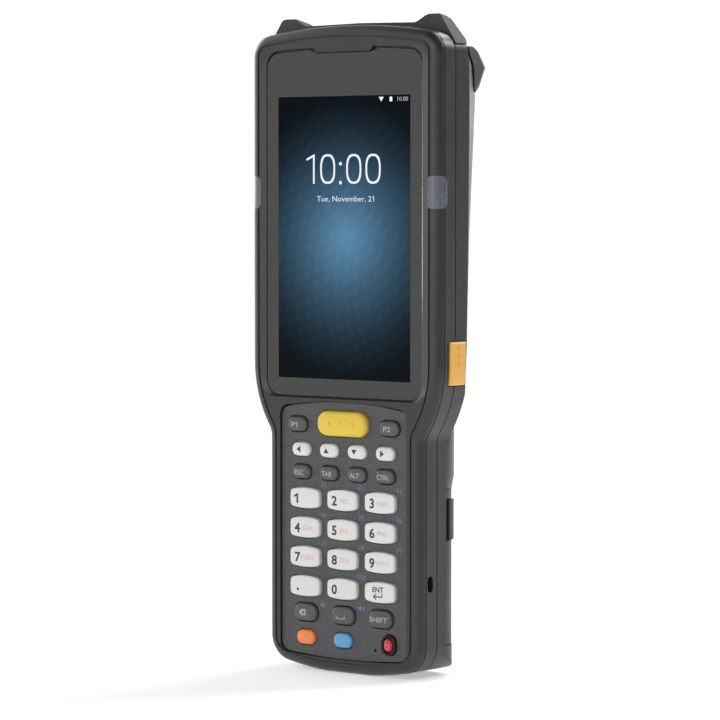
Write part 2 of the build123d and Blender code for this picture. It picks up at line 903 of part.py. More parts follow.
def top_bumper():
    """Rubber cap over the top of the head, with an ear at each corner beside the scan window."""
    cap_back = parting_y + ear_depth
    cap = slab(ear_outline(), parting_y, cap_back) - body_slab(cap_thickness, parting_y, cap_back)
    cap &= extrude(ear_profile(), amount=head_half_width, both=True)
    cap &= head_flanks(0)
    inner_x = head_half_width - ear_inner_inset
    behind_strap = (parting_y + strap_depth, rear_y)
    return cap - block((-inner_x, inner_x), behind_strap, (cap_seam_z, 2 * body_height))


# Outline of the right rear bumper at each of its heights, from its outer edge round the back.
# Each point gives how far in from the side and how deep behind the glass it lies.
lump_rows = (
    ((4.05, 22.6), (4.45, 23.7), (8.35, 28.0), (12.35, 28.3), (13.35, 24.0)),
    ((3.75, 22.3), (4.15, 24.9), (7.35, 29.2), (11.85, 29.4), (13.35, 24.0)),
    ((3.45, 21.5), (4.35, 27.7), (7.15, 32.2), (11.35, 31.7), (14.85, 24.0)),
    ((3.15, 18.7), (3.95, 23.9), (5.85, 26.7), (10.85, 27.5), (13.35, 20.0)),
    ((2.75, 17.7), (3.75, 21.5), (7.85, 24.1), (12.35, 24.5), (13.35, 20.0)),
)


def rear_bumper():
    """Faceted rubber bumper on the right rear corner of the head."""
    rings = []
    for drop, outline in zip(lump_drops, lump_rows):
        z = body_height - drop
        rings.append([(head_half_width - inset, behind_glass(depth), z) for inset, depth in outline])
    return faceted(rings) - rear_skin()


# ---- Scanner and inner pieces ----

def scan_window():
    """Dark window in the top of the head, in front of the scan engine."""
    top_z = body_height - cap_thickness - scan_window_drop
    y_range = (behind_glass(scan_window_front), behind_glass(scan_window_back))
    half = scan_window_half_width
    return block((-half, half), y_range, (top_z - scan_window_thickness, top_z))


def scan_engine():
    """Scan engine on the chassis, looking up through the scan window."""
    seat = behind_glass(chassis_front + chassis_thickness)
    half = engine_half_width
    body = block((-half, half), (seat, seat + engine_depth), (engine_low_z, engine_high_z))
    lens_y = seat + 0.55 * engine_depth
    top = Plane.XY.offset(engine_high_z)
    for x, radius in ((-0.45 * half, 2.6), (0.45 * half, 1.8)):
        body -= top * Pos(x, lens_y) * Cylinder(radius, 2.0)
    return body


def chassis():
    """Plate that carries the boards and the scan engine inside the shells."""
    front = behind_glass(chassis_front)
    back = front + chassis_thickness
    plate = body_slab(wall + slide_gap, front, back)
    far = 2 * head_half_width
    plate &= block((-far, far), (front, back), (chassis_low_z, chassis_high_z))
    plate -= screw_posts(boss_radius + slide_gap, front, back)
    margin = trigger_lip + 2 * slide_gap
    notch = block((0, far), (front, back), (trigger_low_z - margin, trigger_high_z + margin))
    notch -= body_slab(wall + trigger_lip + trigger_travel + 3 * slide_gap, front, back)
    return plate - notch - across(notch)


def keypad_mat():
    """Rubber mat under the keys, with a raised rib that seals against the front plate."""
    back = mat_front_y + mat_thickness
    sheet = slab(panel_outline(mat_border), mat_front_y, back)
    rib = slab(panel_outline(mat_border), plate_back_y, mat_front_y)
    rib -= slab(panel_outline(-panel_ledge / 2), plate_back_y, mat_front_y)
    inside = body_slab(wall + fit_gap, plate_back_y, back)
    return ((sheet + rib) & inside) - screw_posts(boss_radius + slide_gap, plate_back_y, back)


def keypad_board():
    """Circuit board behind the rubber mat."""
    front = mat_front_y + mat_thickness
    back = front + board_thickness
    board = slab(panel_outline(mat_border / 2), front, back)
    return (board & body_slab(wall + fit_gap, front, back)) - screw_posts(boss_radius + slide_gap, front, back)


def main_board():
    """Main circuit board on the front of the chassis."""
    back = behind_glass(chassis_front)
    front = back - main_board_thickness
    half = main_board_half_width
    return block((-half, half), (front, back), (main_board_low_z, main_board_high_z))


def microphone():
    """Microphone behind the sound hole in the keypad panel."""
    place = Plane.XZ.offset(-panel_back_y) * Pos(mic_x, mic_z)
    return extrude(place * Circle(mic_radius), amount=-mic_thickness)


def earpiece():
    """Earpiece behind the lip above the display."""
    width, depth, height = earpiece_size
    y_range = (plate_back_y, plate_back_y + depth)
    return block((-width / 2, width / 2), y_range, (earpiece_z - height / 2, earpiece_z + height / 2))


def loudspeaker():
    """Loudspeaker behind the grille in the back of the grip."""
    back = behind_glass(grip_back) - wall
    shape = Pos(0, speaker_z) * Circle(speaker_radius)
    return slab(shape, back - speaker_thickness, back)


def housing_screws():
    """The screws that hold the two shells together."""
    seat = parting_y + screw_seat
    shanks = screw_bores(screw_shank_radius, parting_y - screw_bite + slide_gap, seat)
    return shanks + screw_bores(screw_head_radius, seat, seat + screw_head_height)


# ---- Battery ----

def latch_sector(inner, outer, grow):
    """Ring sector on the rounded side of the battery pack, between two heights."""
    centre = Pos(grip_half_width - grip_round, behind_glass(grip_back) - grip_round)
    disc = Circle(outer) - Circle(inner)
    reach = 3 * grip_round
    low = radians(latch_low_angle)
    high = radians(latch_high_angle)
    wedge = Polyline(
        (0, 0),
        (reach * cos(low), reach * sin(low)),
        (reach * cos(high), reach * sin(high)),
        close=True,
    )
    sector = disc & make_face(wedge)
    z_from = latch_low_z - grow
    height = latch_high_z - latch_low_z + 2 * grow
    return Pos(0, 0, z_from) * extrude(centre * offset_sector(sector, grow), amount=height)


def offset_sector(sector, grow):
    """The sector, larger all round by the given clearance."""
    return offset(sector, grow) if grow else sector


def battery_latch():
    """Finger latch on the right side of the battery pack."""
    skin_radius = grip_round - battery_inset
    latch = latch_sector(skin_radius - latch_thickness, skin_radius + latch_proud, 0)
    return chamfer(latch.edges().filter_by(Axis.Z).group_by(Axis.X)[-1], latch_bevel)


def latch_pocket():
    """Pocket in the battery pack that the right latch slides into."""
    skin_radius = grip_round - battery_inset
    inner = skin_radius - latch_thickness
    pocket = Part()
    for share in (0, 0.5, 1):
        place = Pos(-share * latch_travel, 0, 0)
        pocket += place * latch_sector(inner, skin_radius + 2 * latch_proud, slide_gap)
    return pocket


def battery_pack():
    """Battery: cells in the bay under a rounded back that completes the grip."""
    front = behind_glass(seam) + slide_gap / 2
    far = 2 * grip_half_width
    shell = spine(battery_inset, battery_low_z, battery_high_z, parting_y)
    shell &= block((-far, far), (front, rear_y), (battery_low_z, battery_high_z))
    z_range = (battery_low_z + core_margin, battery_high_z - core_margin)
    core_front = parting_y + bay_floor + slide_gap
    core = block((-core_half_width, core_half_width), (core_front, front), z_range)
    pockets = latch_pocket() + across(latch_pocket())
    return shell + core - pockets - contact_space(slide_gap) - cell_space(fit_gap)


def cell_space(grow):
    """Closed room inside the battery pack for its cell."""
    half = core_half_width - cell_side_margin + grow
    front = parting_y + bay_floor + contact_size[1] + slide_gap + cell_wall
    back = behind_glass(grip_back) - battery_inset - cell_wall
    inner_margin = core_margin + cell_wall - grow
    z_range = (battery_low_z + inner_margin, battery_high_z - inner_margin)
    return block((-half, half), (front - grow, back + grow), z_range)


def battery_cell():
    """Flat cell inside the battery pack."""
    return cell_space(0)


def contact_space(grow):
    """Room in the battery pack for the contact block."""
    width, depth, height = contact_size
    half = width / 2 + grow
    floor = parting_y + bay_floor
    z_range = (contact_z - height / 2 - grow, contact_z + height / 2 + grow)
    return block((-half, half), (floor, floor + depth + grow), z_range)


def battery_contacts():
    """Contact block on the floor of the battery bay."""
    return contact_space(0)


def dock_connector():
    """Charging contacts in the foot."""
    half = dock_half_width - fit_gap
    y_range = (behind_glass(dock_front) + fit_gap, behind_glass(dock_back) - fit_gap)
    body = block((-half, half), y_range, (dock_recess, dock_recess + dock_height))
    for index in range(4):
        x = (index - 1.5) * dock_half_width / 2
        body -= Pos(x, 0.5 * (y_range[0] + y_range[1]), dock_recess) * Box(2.0, 2.6, 0.6)
    return body


# ---- Writing the pieces ----

def all_pieces():
    """Every separate piece of the terminal by the name of its node."""
    pieces = {
        "front_housing": front_housing(),
        "rear_housing": rear_housing(),
        "top_bumper": top_bumper(),
        "rear_bumper_right": rear_bumper(),
        "touch_window": touch_window(),
        "display_module": display_module(),
        "keypad_panel": keypad_panel(),
        "keypad_mat": keypad_mat(),
        "keypad_board": keypad_board(),
        "power_key_ring": power_key_ring(),
        "main_board": main_board(),
        "chassis": chassis(),
        "light_pipe_right": light_pipe(),
        "side_trigger_right": side_trigger(),
        "trigger_switches": trigger_switches(),
        "scan_window": scan_window(),
        "scan_engine": scan_engine(),
        "microphone": microphone(),
        "earpiece": earpiece(),
        "loudspeaker": loudspeaker(),
        "seal_gasket": gasket_ring(),
        "housing_screws": housing_screws(),
        "battery_pack": battery_pack(),
        "battery_cell": battery_cell(),
        "battery_latch_right": battery_latch(),
        "battery_contacts": battery_contacts(),
        "dock_connector": dock_connector(),
    }
    for name in ("rear_bumper", "light_pipe", "side_trigger", "battery_latch"):
        pieces[name + "_left"] = across(pieces[name + "_right"])
    for name, place in key_places().items():
        pieces[name] = key(*place)
    return pieces


os.makedirs("parts", exist_ok=True)
for name, piece in all_pieces().items():
    export_step(piece, "parts/" + name + ".step")
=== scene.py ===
"""Portable barcode data terminal: finishes, keys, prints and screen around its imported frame."""

import json
import math
from contextlib import contextmanager

import bmesh
import bpy
from bpy.props import (
    FloatProperty, FloatVectorProperty, IntProperty, PointerProperty, StringProperty)
from mathutils import Matrix, Quaternion, Vector
from mathutils.bvhtree import BVHTree


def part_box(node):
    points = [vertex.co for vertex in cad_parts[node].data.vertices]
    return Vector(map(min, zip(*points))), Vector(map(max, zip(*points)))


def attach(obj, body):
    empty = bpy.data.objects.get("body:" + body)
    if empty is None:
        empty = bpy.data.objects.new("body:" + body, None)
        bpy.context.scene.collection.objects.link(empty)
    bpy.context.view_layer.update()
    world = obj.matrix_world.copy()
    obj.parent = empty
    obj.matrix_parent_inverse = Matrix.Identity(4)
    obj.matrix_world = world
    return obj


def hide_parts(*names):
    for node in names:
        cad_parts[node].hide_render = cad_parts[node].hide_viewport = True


bl_info = {
    "name": "Data terminal finish",
    "version": (1, 0, 0),
    "blender": (4, 5, 0),
    "location": "View3D > Sidebar > Terminal",
    "description": "Finishes, keys, prints and screen of a handheld data terminal",
    "category": "Object",
}

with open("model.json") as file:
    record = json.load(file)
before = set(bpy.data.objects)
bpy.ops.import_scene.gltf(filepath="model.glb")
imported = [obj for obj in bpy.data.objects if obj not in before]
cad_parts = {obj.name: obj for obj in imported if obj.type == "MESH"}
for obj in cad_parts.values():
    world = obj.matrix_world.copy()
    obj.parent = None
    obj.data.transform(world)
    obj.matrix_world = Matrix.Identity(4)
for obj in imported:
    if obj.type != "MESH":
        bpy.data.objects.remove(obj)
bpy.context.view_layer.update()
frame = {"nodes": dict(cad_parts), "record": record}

MM = 0.001
WELD = 0.002 * MM
CREASE = math.radians(31)
BUMPER_CREASE = math.radians(18)
HOUSING = "housing"
BLACK = (0.0, 0.0, 0.0)

# ---- Layers that the frame gives, in metres ----
glass_low, glass_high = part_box("touch_window")
panel_low, panel_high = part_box("keypad_panel")

# ---- Keys ----
LIP_WIDTH = 0.5 * MM
LIP_DEPTH = 0.5 * MM
KEY_GAP = 0.3 * MM
MARK_RISE = 0.24 * MM
MARK_ROOT = 0.06 * MM
CAPSULE_CORNER = 0.46
TILE_CORNER = 0.23
TILE_BOW = 0.42 * MM
LEAST_CORNER = 0.1 * MM
LEAST_BOW = 0.012 * MM
SCAN_TRIM = 0.5 * MM
CORNER_STEPS = 9
END_STEPS = 7
EDGE_STEPS = 6
CROWN_STEPS = 5

NUMBER_KEYS = ("1", "2", "3", "4", "5", "6", "7", "8", "9", "point", "0", "enter")
ARROW_KEYS = ("left", "up", "down", "right")
WORD_KEYS = ("p1", "p2", "esc", "tab", "alt", "ctrl", "backspace", "space", "shift")
ALL_KEYS = NUMBER_KEYS + ARROW_KEYS + WORD_KEYS + ("orange", "blue", "scan", "power")
SPECIAL_KEYS = {"scan": ("scan", 1.45 * MM), "power": ("red", 0.7 * MM)}

# ---- Flat shapes and prints ----
CAPITAL_SHARE = 0.729
TEXT_STEPS = 3
SHAPE_DEPTH = 0.5
DICE_STEP = 0.45 * MM
LEAST_MITRE = 0.35
INK_LIFT, INK_SINK = 0.02 * MM, 0.06 * MM
PRINT_LIFT, PRINT_SINK = 0.015 * MM, 0.03 * MM

# The slanted flag of a one, in widths of its bar from the bar's top left corner.
ONE_FLAG = ((0.1, 0.0), (-1.5, -1.05), (-1.5, -2.0), (0.1, -1.15))
BAR_POINTS = 8


# ---- Settings that a user would change ----

def colour_field(name, description, *default):
    """Setting for a colour, in red, green and blue."""
    return FloatVectorProperty(
        name=name, description=description, default=default, subtype="COLOR", min=0, max=1)


def length_field(name, description, default, least, most):
    """Setting for a length, in millimetres."""
    return FloatProperty(
        name=name, description=description, default=default * MM, min=least * MM, max=most * MM,
        subtype="DISTANCE", unit="LENGTH")


def level_field(name, description, default, **unit):
    """Setting for a brightness or a power."""
    return FloatProperty(name=name, description=description, default=default, min=0, **unit)


class TerminalColours(bpy.types.PropertyGroup):
    """Colours of the mouldings, keys and prints."""

    housing: colour_field("Housing", "Moulded plastic of the two shells", 0.019, 0.0195, 0.0195)
    rubber: colour_field("Rubber", "Bumpers on the head", 0.022, 0.0225, 0.022)
    panel: colour_field("Keypad plate", "Textured plate between the keys", 0.054, 0.055, 0.056)
    border: colour_field("Window border", "Print behind the edge of the glass", 0.048, 0.047, 0.043)
    white_key: colour_field("White keys", "Number and arrow keys", 0.66, 0.67, 0.66)
    grey_key: colour_field("Grey keys", "Program and modifier keys", 0.070, 0.072, 0.072)
    scan_key: colour_field("Scan key", "Large key over the keypad", 0.70, 0.50, 0.045)
    trigger: colour_field("Side triggers", "Scan triggers on the shoulders", 0.86, 0.44, 0.085)
    orange_key: colour_field("Orange key", "Letter shift key", 0.82, 0.235, 0.06)
    blue_key: colour_field("Blue key", "Function shift key", 0.105, 0.33, 0.58)
    red_key: colour_field("Power key", "Power key in its black ring", 0.52, 0.016, 0.028)
    glow: colour_field("Screen glow", "Brightest blue of the wallpaper", 0.105, 0.25, 0.41)


class TerminalSizes(bpy.types.PropertyGroup):
    """Sizes of the crowns, grain and prints."""

    small_edge: length_field("Capsule edge", "Edge radius of the small keys", 1.0, 0.1, 1.2)
    tile_edge: length_field("Tile edge", "Edge radius of the number keys", 0.62, 0.1, 1.2)
    dome: length_field("Crown", "Rise of a key's face from its edge to its middle", 0.12, 0, 0.5)
    digit_height: length_field("Digits", "Height of the digits on the keys", 2.95, 1, 5)
    grain: length_field("Housing grain", "Size of the texture on the shells", 0.28, 0.05, 2)
    panel_grain: length_field("Plate grain", "Size of the texture on the plate", 0.42, 0.05, 2)
    mark_count: IntProperty(
        name="Finger marks", description="Raised marks on the scan key and on each trigger",
        default=3, min=1, max=7)
    clock: StringProperty(
        name="Clock", description="Time in the corner of the screen", default="10:00")
    date: StringProperty(
        name="Date", description="Line under the clock", default="Tue, November, 21")


class TerminalStage(bpy.types.PropertyGroup):
    """Floor, light and camera."""

    floor: colour_field("Floor", "Plain pale floor", 0.9, 0.9, 0.9)
    left: level_field("Left", "Brightness of the surround on the left", 4.3)
    front: level_field("Front", "Brightness of the surround before the terminal", 3.1)
    rear: level_field("Rear", "Brightness of the surround behind the terminal", 2.4)
    rear_high: level_field("Rear high", "Brightness high behind the right side", 1.1)
    backdrop: level_field("Backdrop", "Brightness of the plain backdrop", 1.1)
    table_glow: level_field("Table glow", "Light that the lit table gives by itself", 0.42)
    strip_light: level_field("Strip light", "Narrow light beside the camera", 0.8, unit="POWER")
    side_light: level_field("Side light", "Light behind the right side", 3.8, unit="POWER")
    back_light: level_field("Back light", "Light high behind the terminal", 3.5, unit="POWER")
    lens: FloatProperty(
        name="Lens", description="Focal length on a 36 mm sensor", default=172.54, min=20, max=400,
        unit="CAMERA")


# ---- Meshes ----

def in_scene(name, data):
    """A new object of the scene."""
    made = bpy.data.objects.new(name, data)
    bpy.context.scene.collection.objects.link(made)
    return made


def add_piece(name, mesh, body, slot, *materials, node=None):
    """Puts a finished mesh in the scene, lets it ride on its body and stand for its node."""
    piece = in_scene(name, mesh)
    for material in materials:
        mesh.materials.append(material)
    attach(piece, body)
    if node:
        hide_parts(node)


def slot_of(node):
    """The record's material slot of a frame node."""
    parts = frame["record"]["subparts"]
    return next(part["material_slot"] for part in parts if part["node"] == node)


def plain_mesh(maker):
    """The evaluated mesh of an object that only helps to make it; the object is deleted."""
    bpy.context.view_layer.update()
    depsgraph = bpy.context.evaluated_depsgraph_get()
    mesh = bpy.data.meshes.new_from_object(maker.evaluated_get(depsgraph), depsgraph=depsgraph)
    bpy.data.objects.remove(maker)
    return mesh


@contextmanager
def edited(mesh):
    """Opens a mesh for changes and writes them back to it."""
    shell = bmesh.new()
    shell.from_mesh(mesh)
    yield shell
    shell.to_mesh(mesh)
    shell.free()


def smooth(mesh, crease=CREASE):
    """Smooth shading with sharp edges where faces meet at more than the crease."""
    mesh.shade_smooth()
    mesh.set_sharp_from_angle(angle=crease)
    return mesh


def finished(shell, name):
    """Mesh made from a bmesh, smooth with sharp creases."""
    mesh = bpy.data.meshes.new(name)
    shell.to_mesh(mesh)
    shell.free()
    return smooth(mesh)


def weighted(mesh):
    """The mesh with normals that keep its flat faces flat."""
    maker = in_scene("maker", mesh)
    modifier = maker.modifiers.new("normals", "WEIGHTED_NORMAL")
    modifier.keep_sharp = True
    modifier.weight = 100
    return plain_mesh(maker)


def dressed(node, body, material, crease=CREASE):
    """Puts a smooth piece in the place of a frame node, whose mesh is loose triangles."""
    mesh = frame["nodes"][node].data.copy()
    if "custom_normal" in mesh.attributes:
        mesh.attributes.remove(mesh.attributes["custom_normal"])
    with edited(mesh) as shell:
        bmesh.ops.remove_doubles(shell, verts=shell.verts, dist=WELD)
        bmesh.ops.dissolve_degenerate(shell, dist=WELD / 2, edges=shell.edges)
    mesh.materials.clear()
    skin = weighted(smooth(mesh, crease))
    add_piece(node + "_skin", skin, body, slot_of(node), material, node=node)


def lofted(rings, poles):
    """Closed mesh through rings of points, with a pole beyond the first ring and the last."""
    shell = bmesh.new()
    rows = [[shell.verts.new(point) for point in ring] for ring in rings]
    count = len(rows[0])
    for low, high in zip(rows, rows[1:]):
        for index in range(count):
            after = (index + 1) % count
            shell.faces.new((low[index], low[after], high[after], high[index]))
    for row, pole, turn in ((rows[0], poles[0], -1), (rows[-1], poles[1], 1)):
        tip = shell.verts.new(pole)
        for index in range(count):
            pair = (row[index], row[(index + 1) % count])[::turn]
            shell.faces.new((*pair, tip))
    bmesh.ops.recalc_face_normals(shell, faces=shell.faces)
    return shell


def curve_mesh(curve):
    """Mesh of a curve or a text, which is deleted."""
    mesh = plain_mesh(in_scene(curve.name, curve))
    bpy.data.curves.remove(curve)
    return mesh


def filled_curve(loops, thickness=SHAPE_DEPTH, bevel=0.0, steps=2):
    """Mesh of a flat shape cut by its loops, drawn in X and Y and thick along Z."""
    curve = bpy.data.curves.new("shape", "CURVE")
    curve.dimensions = "2D"
    curve.fill_mode = "BOTH"
    curve.extrude = thickness - bevel
    curve.bevel_depth = bevel
    curve.bevel_resolution = steps
    curve.offset = -bevel
    for loop in loops:
        spline = curve.splines.new("POLY")
        spline.points.add(len(loop) - 1)
        for place, (x, y) in zip(spline.points, loop):
            place.co = (x, y, 0, 1)
        spline.use_cyclic_u = True
    return curve_mesh(curve)


def plate(loops, front, back, bevel=0.0, steps=2):
    """Upright plate with bevelled edges between two depths, from loops drawn in X and Z."""
    mesh = filled_curve(loops, (back - front) / 2, bevel, steps)
    middle = Matrix.Translation((0, (front + back) / 2, 0))
    mesh.transform(middle @ Matrix.Rotation(math.pi / 2, 4, "X"))
    with edited(mesh) as shell:
        bmesh.ops.remove_doubles(shell, verts=shell.verts, dist=WELD)
    return mesh


def words(text, height, width=None, weight=0.0, stretch=1.0):
    """Mesh of a line of text with capitals of the given height and width, drawn in X and Y."""
    curve = bpy.data.curves.new("words", "FONT")
    curve.body = text
    curve.size = height / CAPITAL_SHARE
    curve.align_x = "CENTER"
    curve.extrude = SHAPE_DEPTH
    curve.offset = weight * height
    curve.resolution_u = TEXT_STEPS
    mesh = curve_mesh(curve)
    if "1" in text:
        flag_ones(mesh, height)
    mesh.transform(Matrix.Translation((0, -height / 2, 0)))
    if width:
        places = [vertex.co.x for vertex in mesh.vertices]
        stretch = width / (max(places) - min(places))
    mesh.transform(Matrix.Diagonal((stretch, 1, 1, 1)))
    return mesh


def glyphs(shell):
    """Lists of vertices that hang together, one for each glyph."""
    left = set(shell.verts)
    while left:
        glyph = [left.pop()]
        for vertex in glyph:
            for edge in vertex.link_edges:
                other = edge.other_vert(vertex)
                if other in left:
                    left.remove(other)
                    glyph.append(other)
        yield glyph


def flag_ones(mesh, height):
    """Gives every one in a line of text, which the font draws as a bare bar, its slanted flag."""
    with edited(mesh) as shell:
        bmesh.ops.remove_doubles(shell, verts=shell.verts, dist=WELD)
        flags = []
        for glyph in glyphs(shell):
            xs = [vertex.co.x for vertex in glyph]
            ys = [vertex.co.y for vertex in glyph]
            if len(glyph) == BAR_POINTS and max(ys) - min(ys) > 0.8 * height:
                bar = max(xs) - min(xs)
                flags.append([(min(xs) + x * bar, max(ys) + y * bar) for x, y in ONE_FLAG])
        for flag in flags:
            extra = filled_curve([flag])
            shell.from_mesh(extra)
            bpy.data.meshes.remove(extra)


def diced(mesh):
    """The mesh cut on a square grid, so that it can follow a crowned face."""
    with edited(mesh) as shell:
        for axis in (0, 1):
            places = [vertex.co[axis] for vertex in shell.verts]
            first, last = math.ceil(min(places) / DICE_STEP), math.floor(max(places) / DICE_STEP)
            normal = Vector((axis == 0, axis == 1, 0))
            for index in range(first, last + 1):
                parts = [*shell.verts, *shell.edges, *shell.faces]
                bmesh.ops.bisect_plane(
                    shell, geom=parts, plane_co=index * DICE_STEP * normal, plane_no=normal)
    return mesh


def ribbon(points, width):
    """Loop of a line of even width through the points, with mitred corners."""
    steps = [Vector(after) - Vector(before) for before, after in zip(points, points[1:])]
    normals = [Vector((-step.y, step.x)).normalized() for step in steps]
    left, right = [], []
    for (x, y), before, after in zip(points, normals[:1] + normals, normals + normals[-1:]):
        middle = (before + after).normalized()
        reach = width / 2 / max(middle.dot(before), LEAST_MITRE)
        left.append((x + middle.x * reach, y + middle.y * reach))
        right.append((x - middle.x * reach, y - middle.y * reach))
    return [left + right[::-1]]


def ellipse(half_width, half_height, power=2.0, steps=48, centre=(0, 0)):
    """Loop round an ellipse, or a rounder box for a power above two."""
    loop = []
    for step in range(steps):
        turn = math.tau * step / steps
        across, up = math.cos(turn), math.sin(turn)
        x = math.copysign(abs(across) ** (2 / power), across)
        y = math.copysign(abs(up) ** (2 / power), up)
        loop.append((centre[0] + half_width * x, centre[1] + half_height * y))
    return loop


def turned(loop, quarters):
    """Points turned by quarter turns."""
    for _ in range(quarters):
        loop = [(-y, x) for x, y in loop]
    return loop


def shifted(loops, x, y, scale=1.0):
    """Loops moved by x and y after they are scaled."""
    return [[(x + scale * px, y + scale * py) for px, py in loop] for loop in loops]


def join(target, mesh, slot):
    """Adds a mesh to a piece in the making, in one of its finishes."""
    start = len(target.faces)
    target.from_mesh(mesh)
    target.faces.ensure_lookup_table()
    for face in target.faces[start:]:
        face.material_index = slot
    bpy.data.meshes.remove(mesh)


def stamp(target, mesh, centre, surface, slot, lift=INK_LIFT, sink=INK_SINK):
    """Adds a flat mesh to a piece in the making, laid on the surface y = surface(x, z)."""
    fresh = {}
    for vertex in mesh.vertices:
        x = centre[0] + vertex.co.x
        z = centre[1] + vertex.co.y
        y = surface(x, z) + (-lift if vertex.co.z > 0 else sink)
        fresh[vertex.index] = target.verts.new((x, y, z))
    for polygon in mesh.polygons:
        face = target.faces.new([fresh[index] for index in polygon.vertices])
        face.material_index = slot
    bpy.data.meshes.remove(mesh)


# ---- Materials ----

def feed(tree, node, inputs):
    """Sets a node's inputs to values, or links them where a socket is given."""
    for name, value in inputs.items():
        if isinstance(value, bpy.types.NodeSocket):
            tree.links.new(value, node.inputs[name])
        else:
            node.inputs[name].default_value = value


def add_node(tree, kind, inputs=None, **settings):
    """Adds a node with its settings and its inputs."""
    made = tree.nodes.new(kind)
    for name, value in settings.items():
        setattr(made, name, value)
    feed(tree, made, inputs or {})
    return made


def computed(tree, operation, *values):
    """Output of a math node on values or sockets."""
    return add_node(
        tree, "ShaderNodeMath", dict(enumerate(values)), operation=operation).outputs[0]


def new_material(name, colour, **values):
    """A material with its shader's plain values set."""
    material = bpy.data.materials.new(name)
    material.use_nodes = True
    tree = material.node_tree
    shader = tree.nodes["Principled BSDF"]
    plain = {label.replace("_", " "): value for label, value in values.items()}
    feed(tree, shader, {"Base Color": (*colour, 1), **plain})
    return material, tree, shader


# Most of a noise lies between these.
NOISE_LOW, NOISE_HIGH = 0.3, 0.7


def object_place(tree):
    """Coordinates that are fixed to the piece."""
    return add_node(tree, "ShaderNodeTexCoord").outputs["Object"]


def noise_at(tree, size, detail):
    """Noise with features of the given size, fixed to the piece."""
    return add_node(tree, "ShaderNodeTexNoise", {
        "Vector": object_place(tree), "Scale": 1 / size, "Detail": detail, "Roughness": 0.6,
    }).outputs["Fac"]


def ramped(tree, factor, stops):
    """Colour that runs through the stops with the factor."""
    ramp = add_node(tree, "ShaderNodeValToRGB", {"Fac": factor})
    elements = ramp.color_ramp.elements
    while len(elements) < len(stops):
        elements.new(0.5)
    for element, (position, colour) in zip(elements, stops):
        element.position = position
        element.color = (*colour, 1)
    return ramp.outputs["Color"]


def vary_colour(tree, shader, factor, colour, spread):
    """Colour that runs from darker to lighter with the factor."""
    dark = [max(0, c * (1 - spread)) for c in colour]
    light = [min(1, c * (1 + spread)) for c in colour]
    mixed = ramped(tree, factor, ((NOISE_LOW, dark), (NOISE_HIGH, light)))
    feed(tree, shader, {"Base Color": mixed})


def raise_grain(tree, shader, factor, depth, strength=1.0):
    """Bump of the given depth from the factor."""
    bump = add_node(tree, "ShaderNodeBump", {
        "Height": factor, "Strength": strength, "Distance": depth})
    feed(tree, shader, {"Normal": bump.outputs["Normal"]})


def grained(name, colour, grain, speckle, rough, depth, strength=1.0, patches=None, **values):
    """A finish whose colour and relief follow one noise; patches give its roughness another."""
    material, tree, shader = new_material(name, colour, **values)
    fine = noise_at(tree, *grain)
    vary_colour(tree, shader, fine, colour, speckle)
    spread = add_node(tree, "ShaderNodeMapRange", {
        "Value": noise_at(tree, *patches) if patches else fine,
        "From Min": NOISE_LOW, "From Max": NOISE_HIGH, "To Min": rough[0], "To Max": rough[1]})
    feed(tree, shader, {"Roughness": spread.outputs["Result"]})
    raise_grain(tree, shader, fine, depth, strength)
    return material


# Noises by their size and detail.
PATCHES, PEEL, GRIT = (14 * MM, 2.0), (1.6 * MM, 1.0), (0.3 * MM, 3.0)


def moulded(name, colour, grain, depth, roughness, speckle=0.10, **values):
    """Moulded plastic or rubber: an even grain, a faint speckle and hands' polish in patches."""
    rough = (roughness - 0.05, roughness + 0.05)
    return grained(name, colour, (grain, 3.0), speckle, rough, depth, patches=PATCHES, **values)


def glossy(name, colour, roughness, depth=0.004 * MM, speckle=0.03, **values):
    """Smooth plastic or paint with a slight orange peel."""
    rough = (roughness * 0.9, roughness * 1.1)
    return grained(name, colour, PEEL, speckle, rough, depth, **values)


def metal(name, colour, roughness):
    """Bare metal with a fine directionless sparkle."""
    rough = (roughness * 0.8, roughness * 1.2)
    return grained(name, colour, GRIT, 0.08, rough, 0.01 * MM, strength=0.5, Metallic=1.0)


def circuit_board(name):
    """Green solder resist with copper tracks under it."""
    material, tree, shader = new_material(name, (0.01, 0.09, 0.04), Roughness=0.35)
    tilt = add_node(tree, "ShaderNodeMapping", {
        "Vector": object_place(tree), "Rotation": (math.pi / 2, 0, 0)})
    bricks = add_node(tree, "ShaderNodeTexBrick", {
        "Vector": tilt.outputs["Vector"], "Scale": 260.0, "Mortar Size": 0.06,
        "Color1": (0.008, 0.10, 0.045, 1), "Color2": (0.012, 0.14, 0.06, 1),
        "Mortar": (0.03, 0.22, 0.08, 1)})
    feed(tree, shader, {"Base Color": bricks.outputs["Color"]})
    raise_grain(tree, shader, bricks.outputs["Fac"], 0.03 * MM, 0.4)
    return material


# How the wallpaper fades with the distance from its glow: shares of the glow, then dark blues.
GLOW_FADE = ((0.0, 1.0), (0.20, 0.68), (0.36, 0.42), (0.53, 0.24))
NIGHT_FADE = (
    (0.66, (0.0160, 0.0360, 0.0560)),
    (0.76, (0.0100, 0.0210, 0.0330)),
    (0.92, (0.0046, 0.0082, 0.0120)),
    (1.0, (0.0036, 0.0058, 0.0080)),
)
RIPPLE_CENTRES = ((-0.05, 0.12), (0.045, 0.21))
RIPPLE_SCALE = 80.0
RIPPLE_DEPTH = 0.045


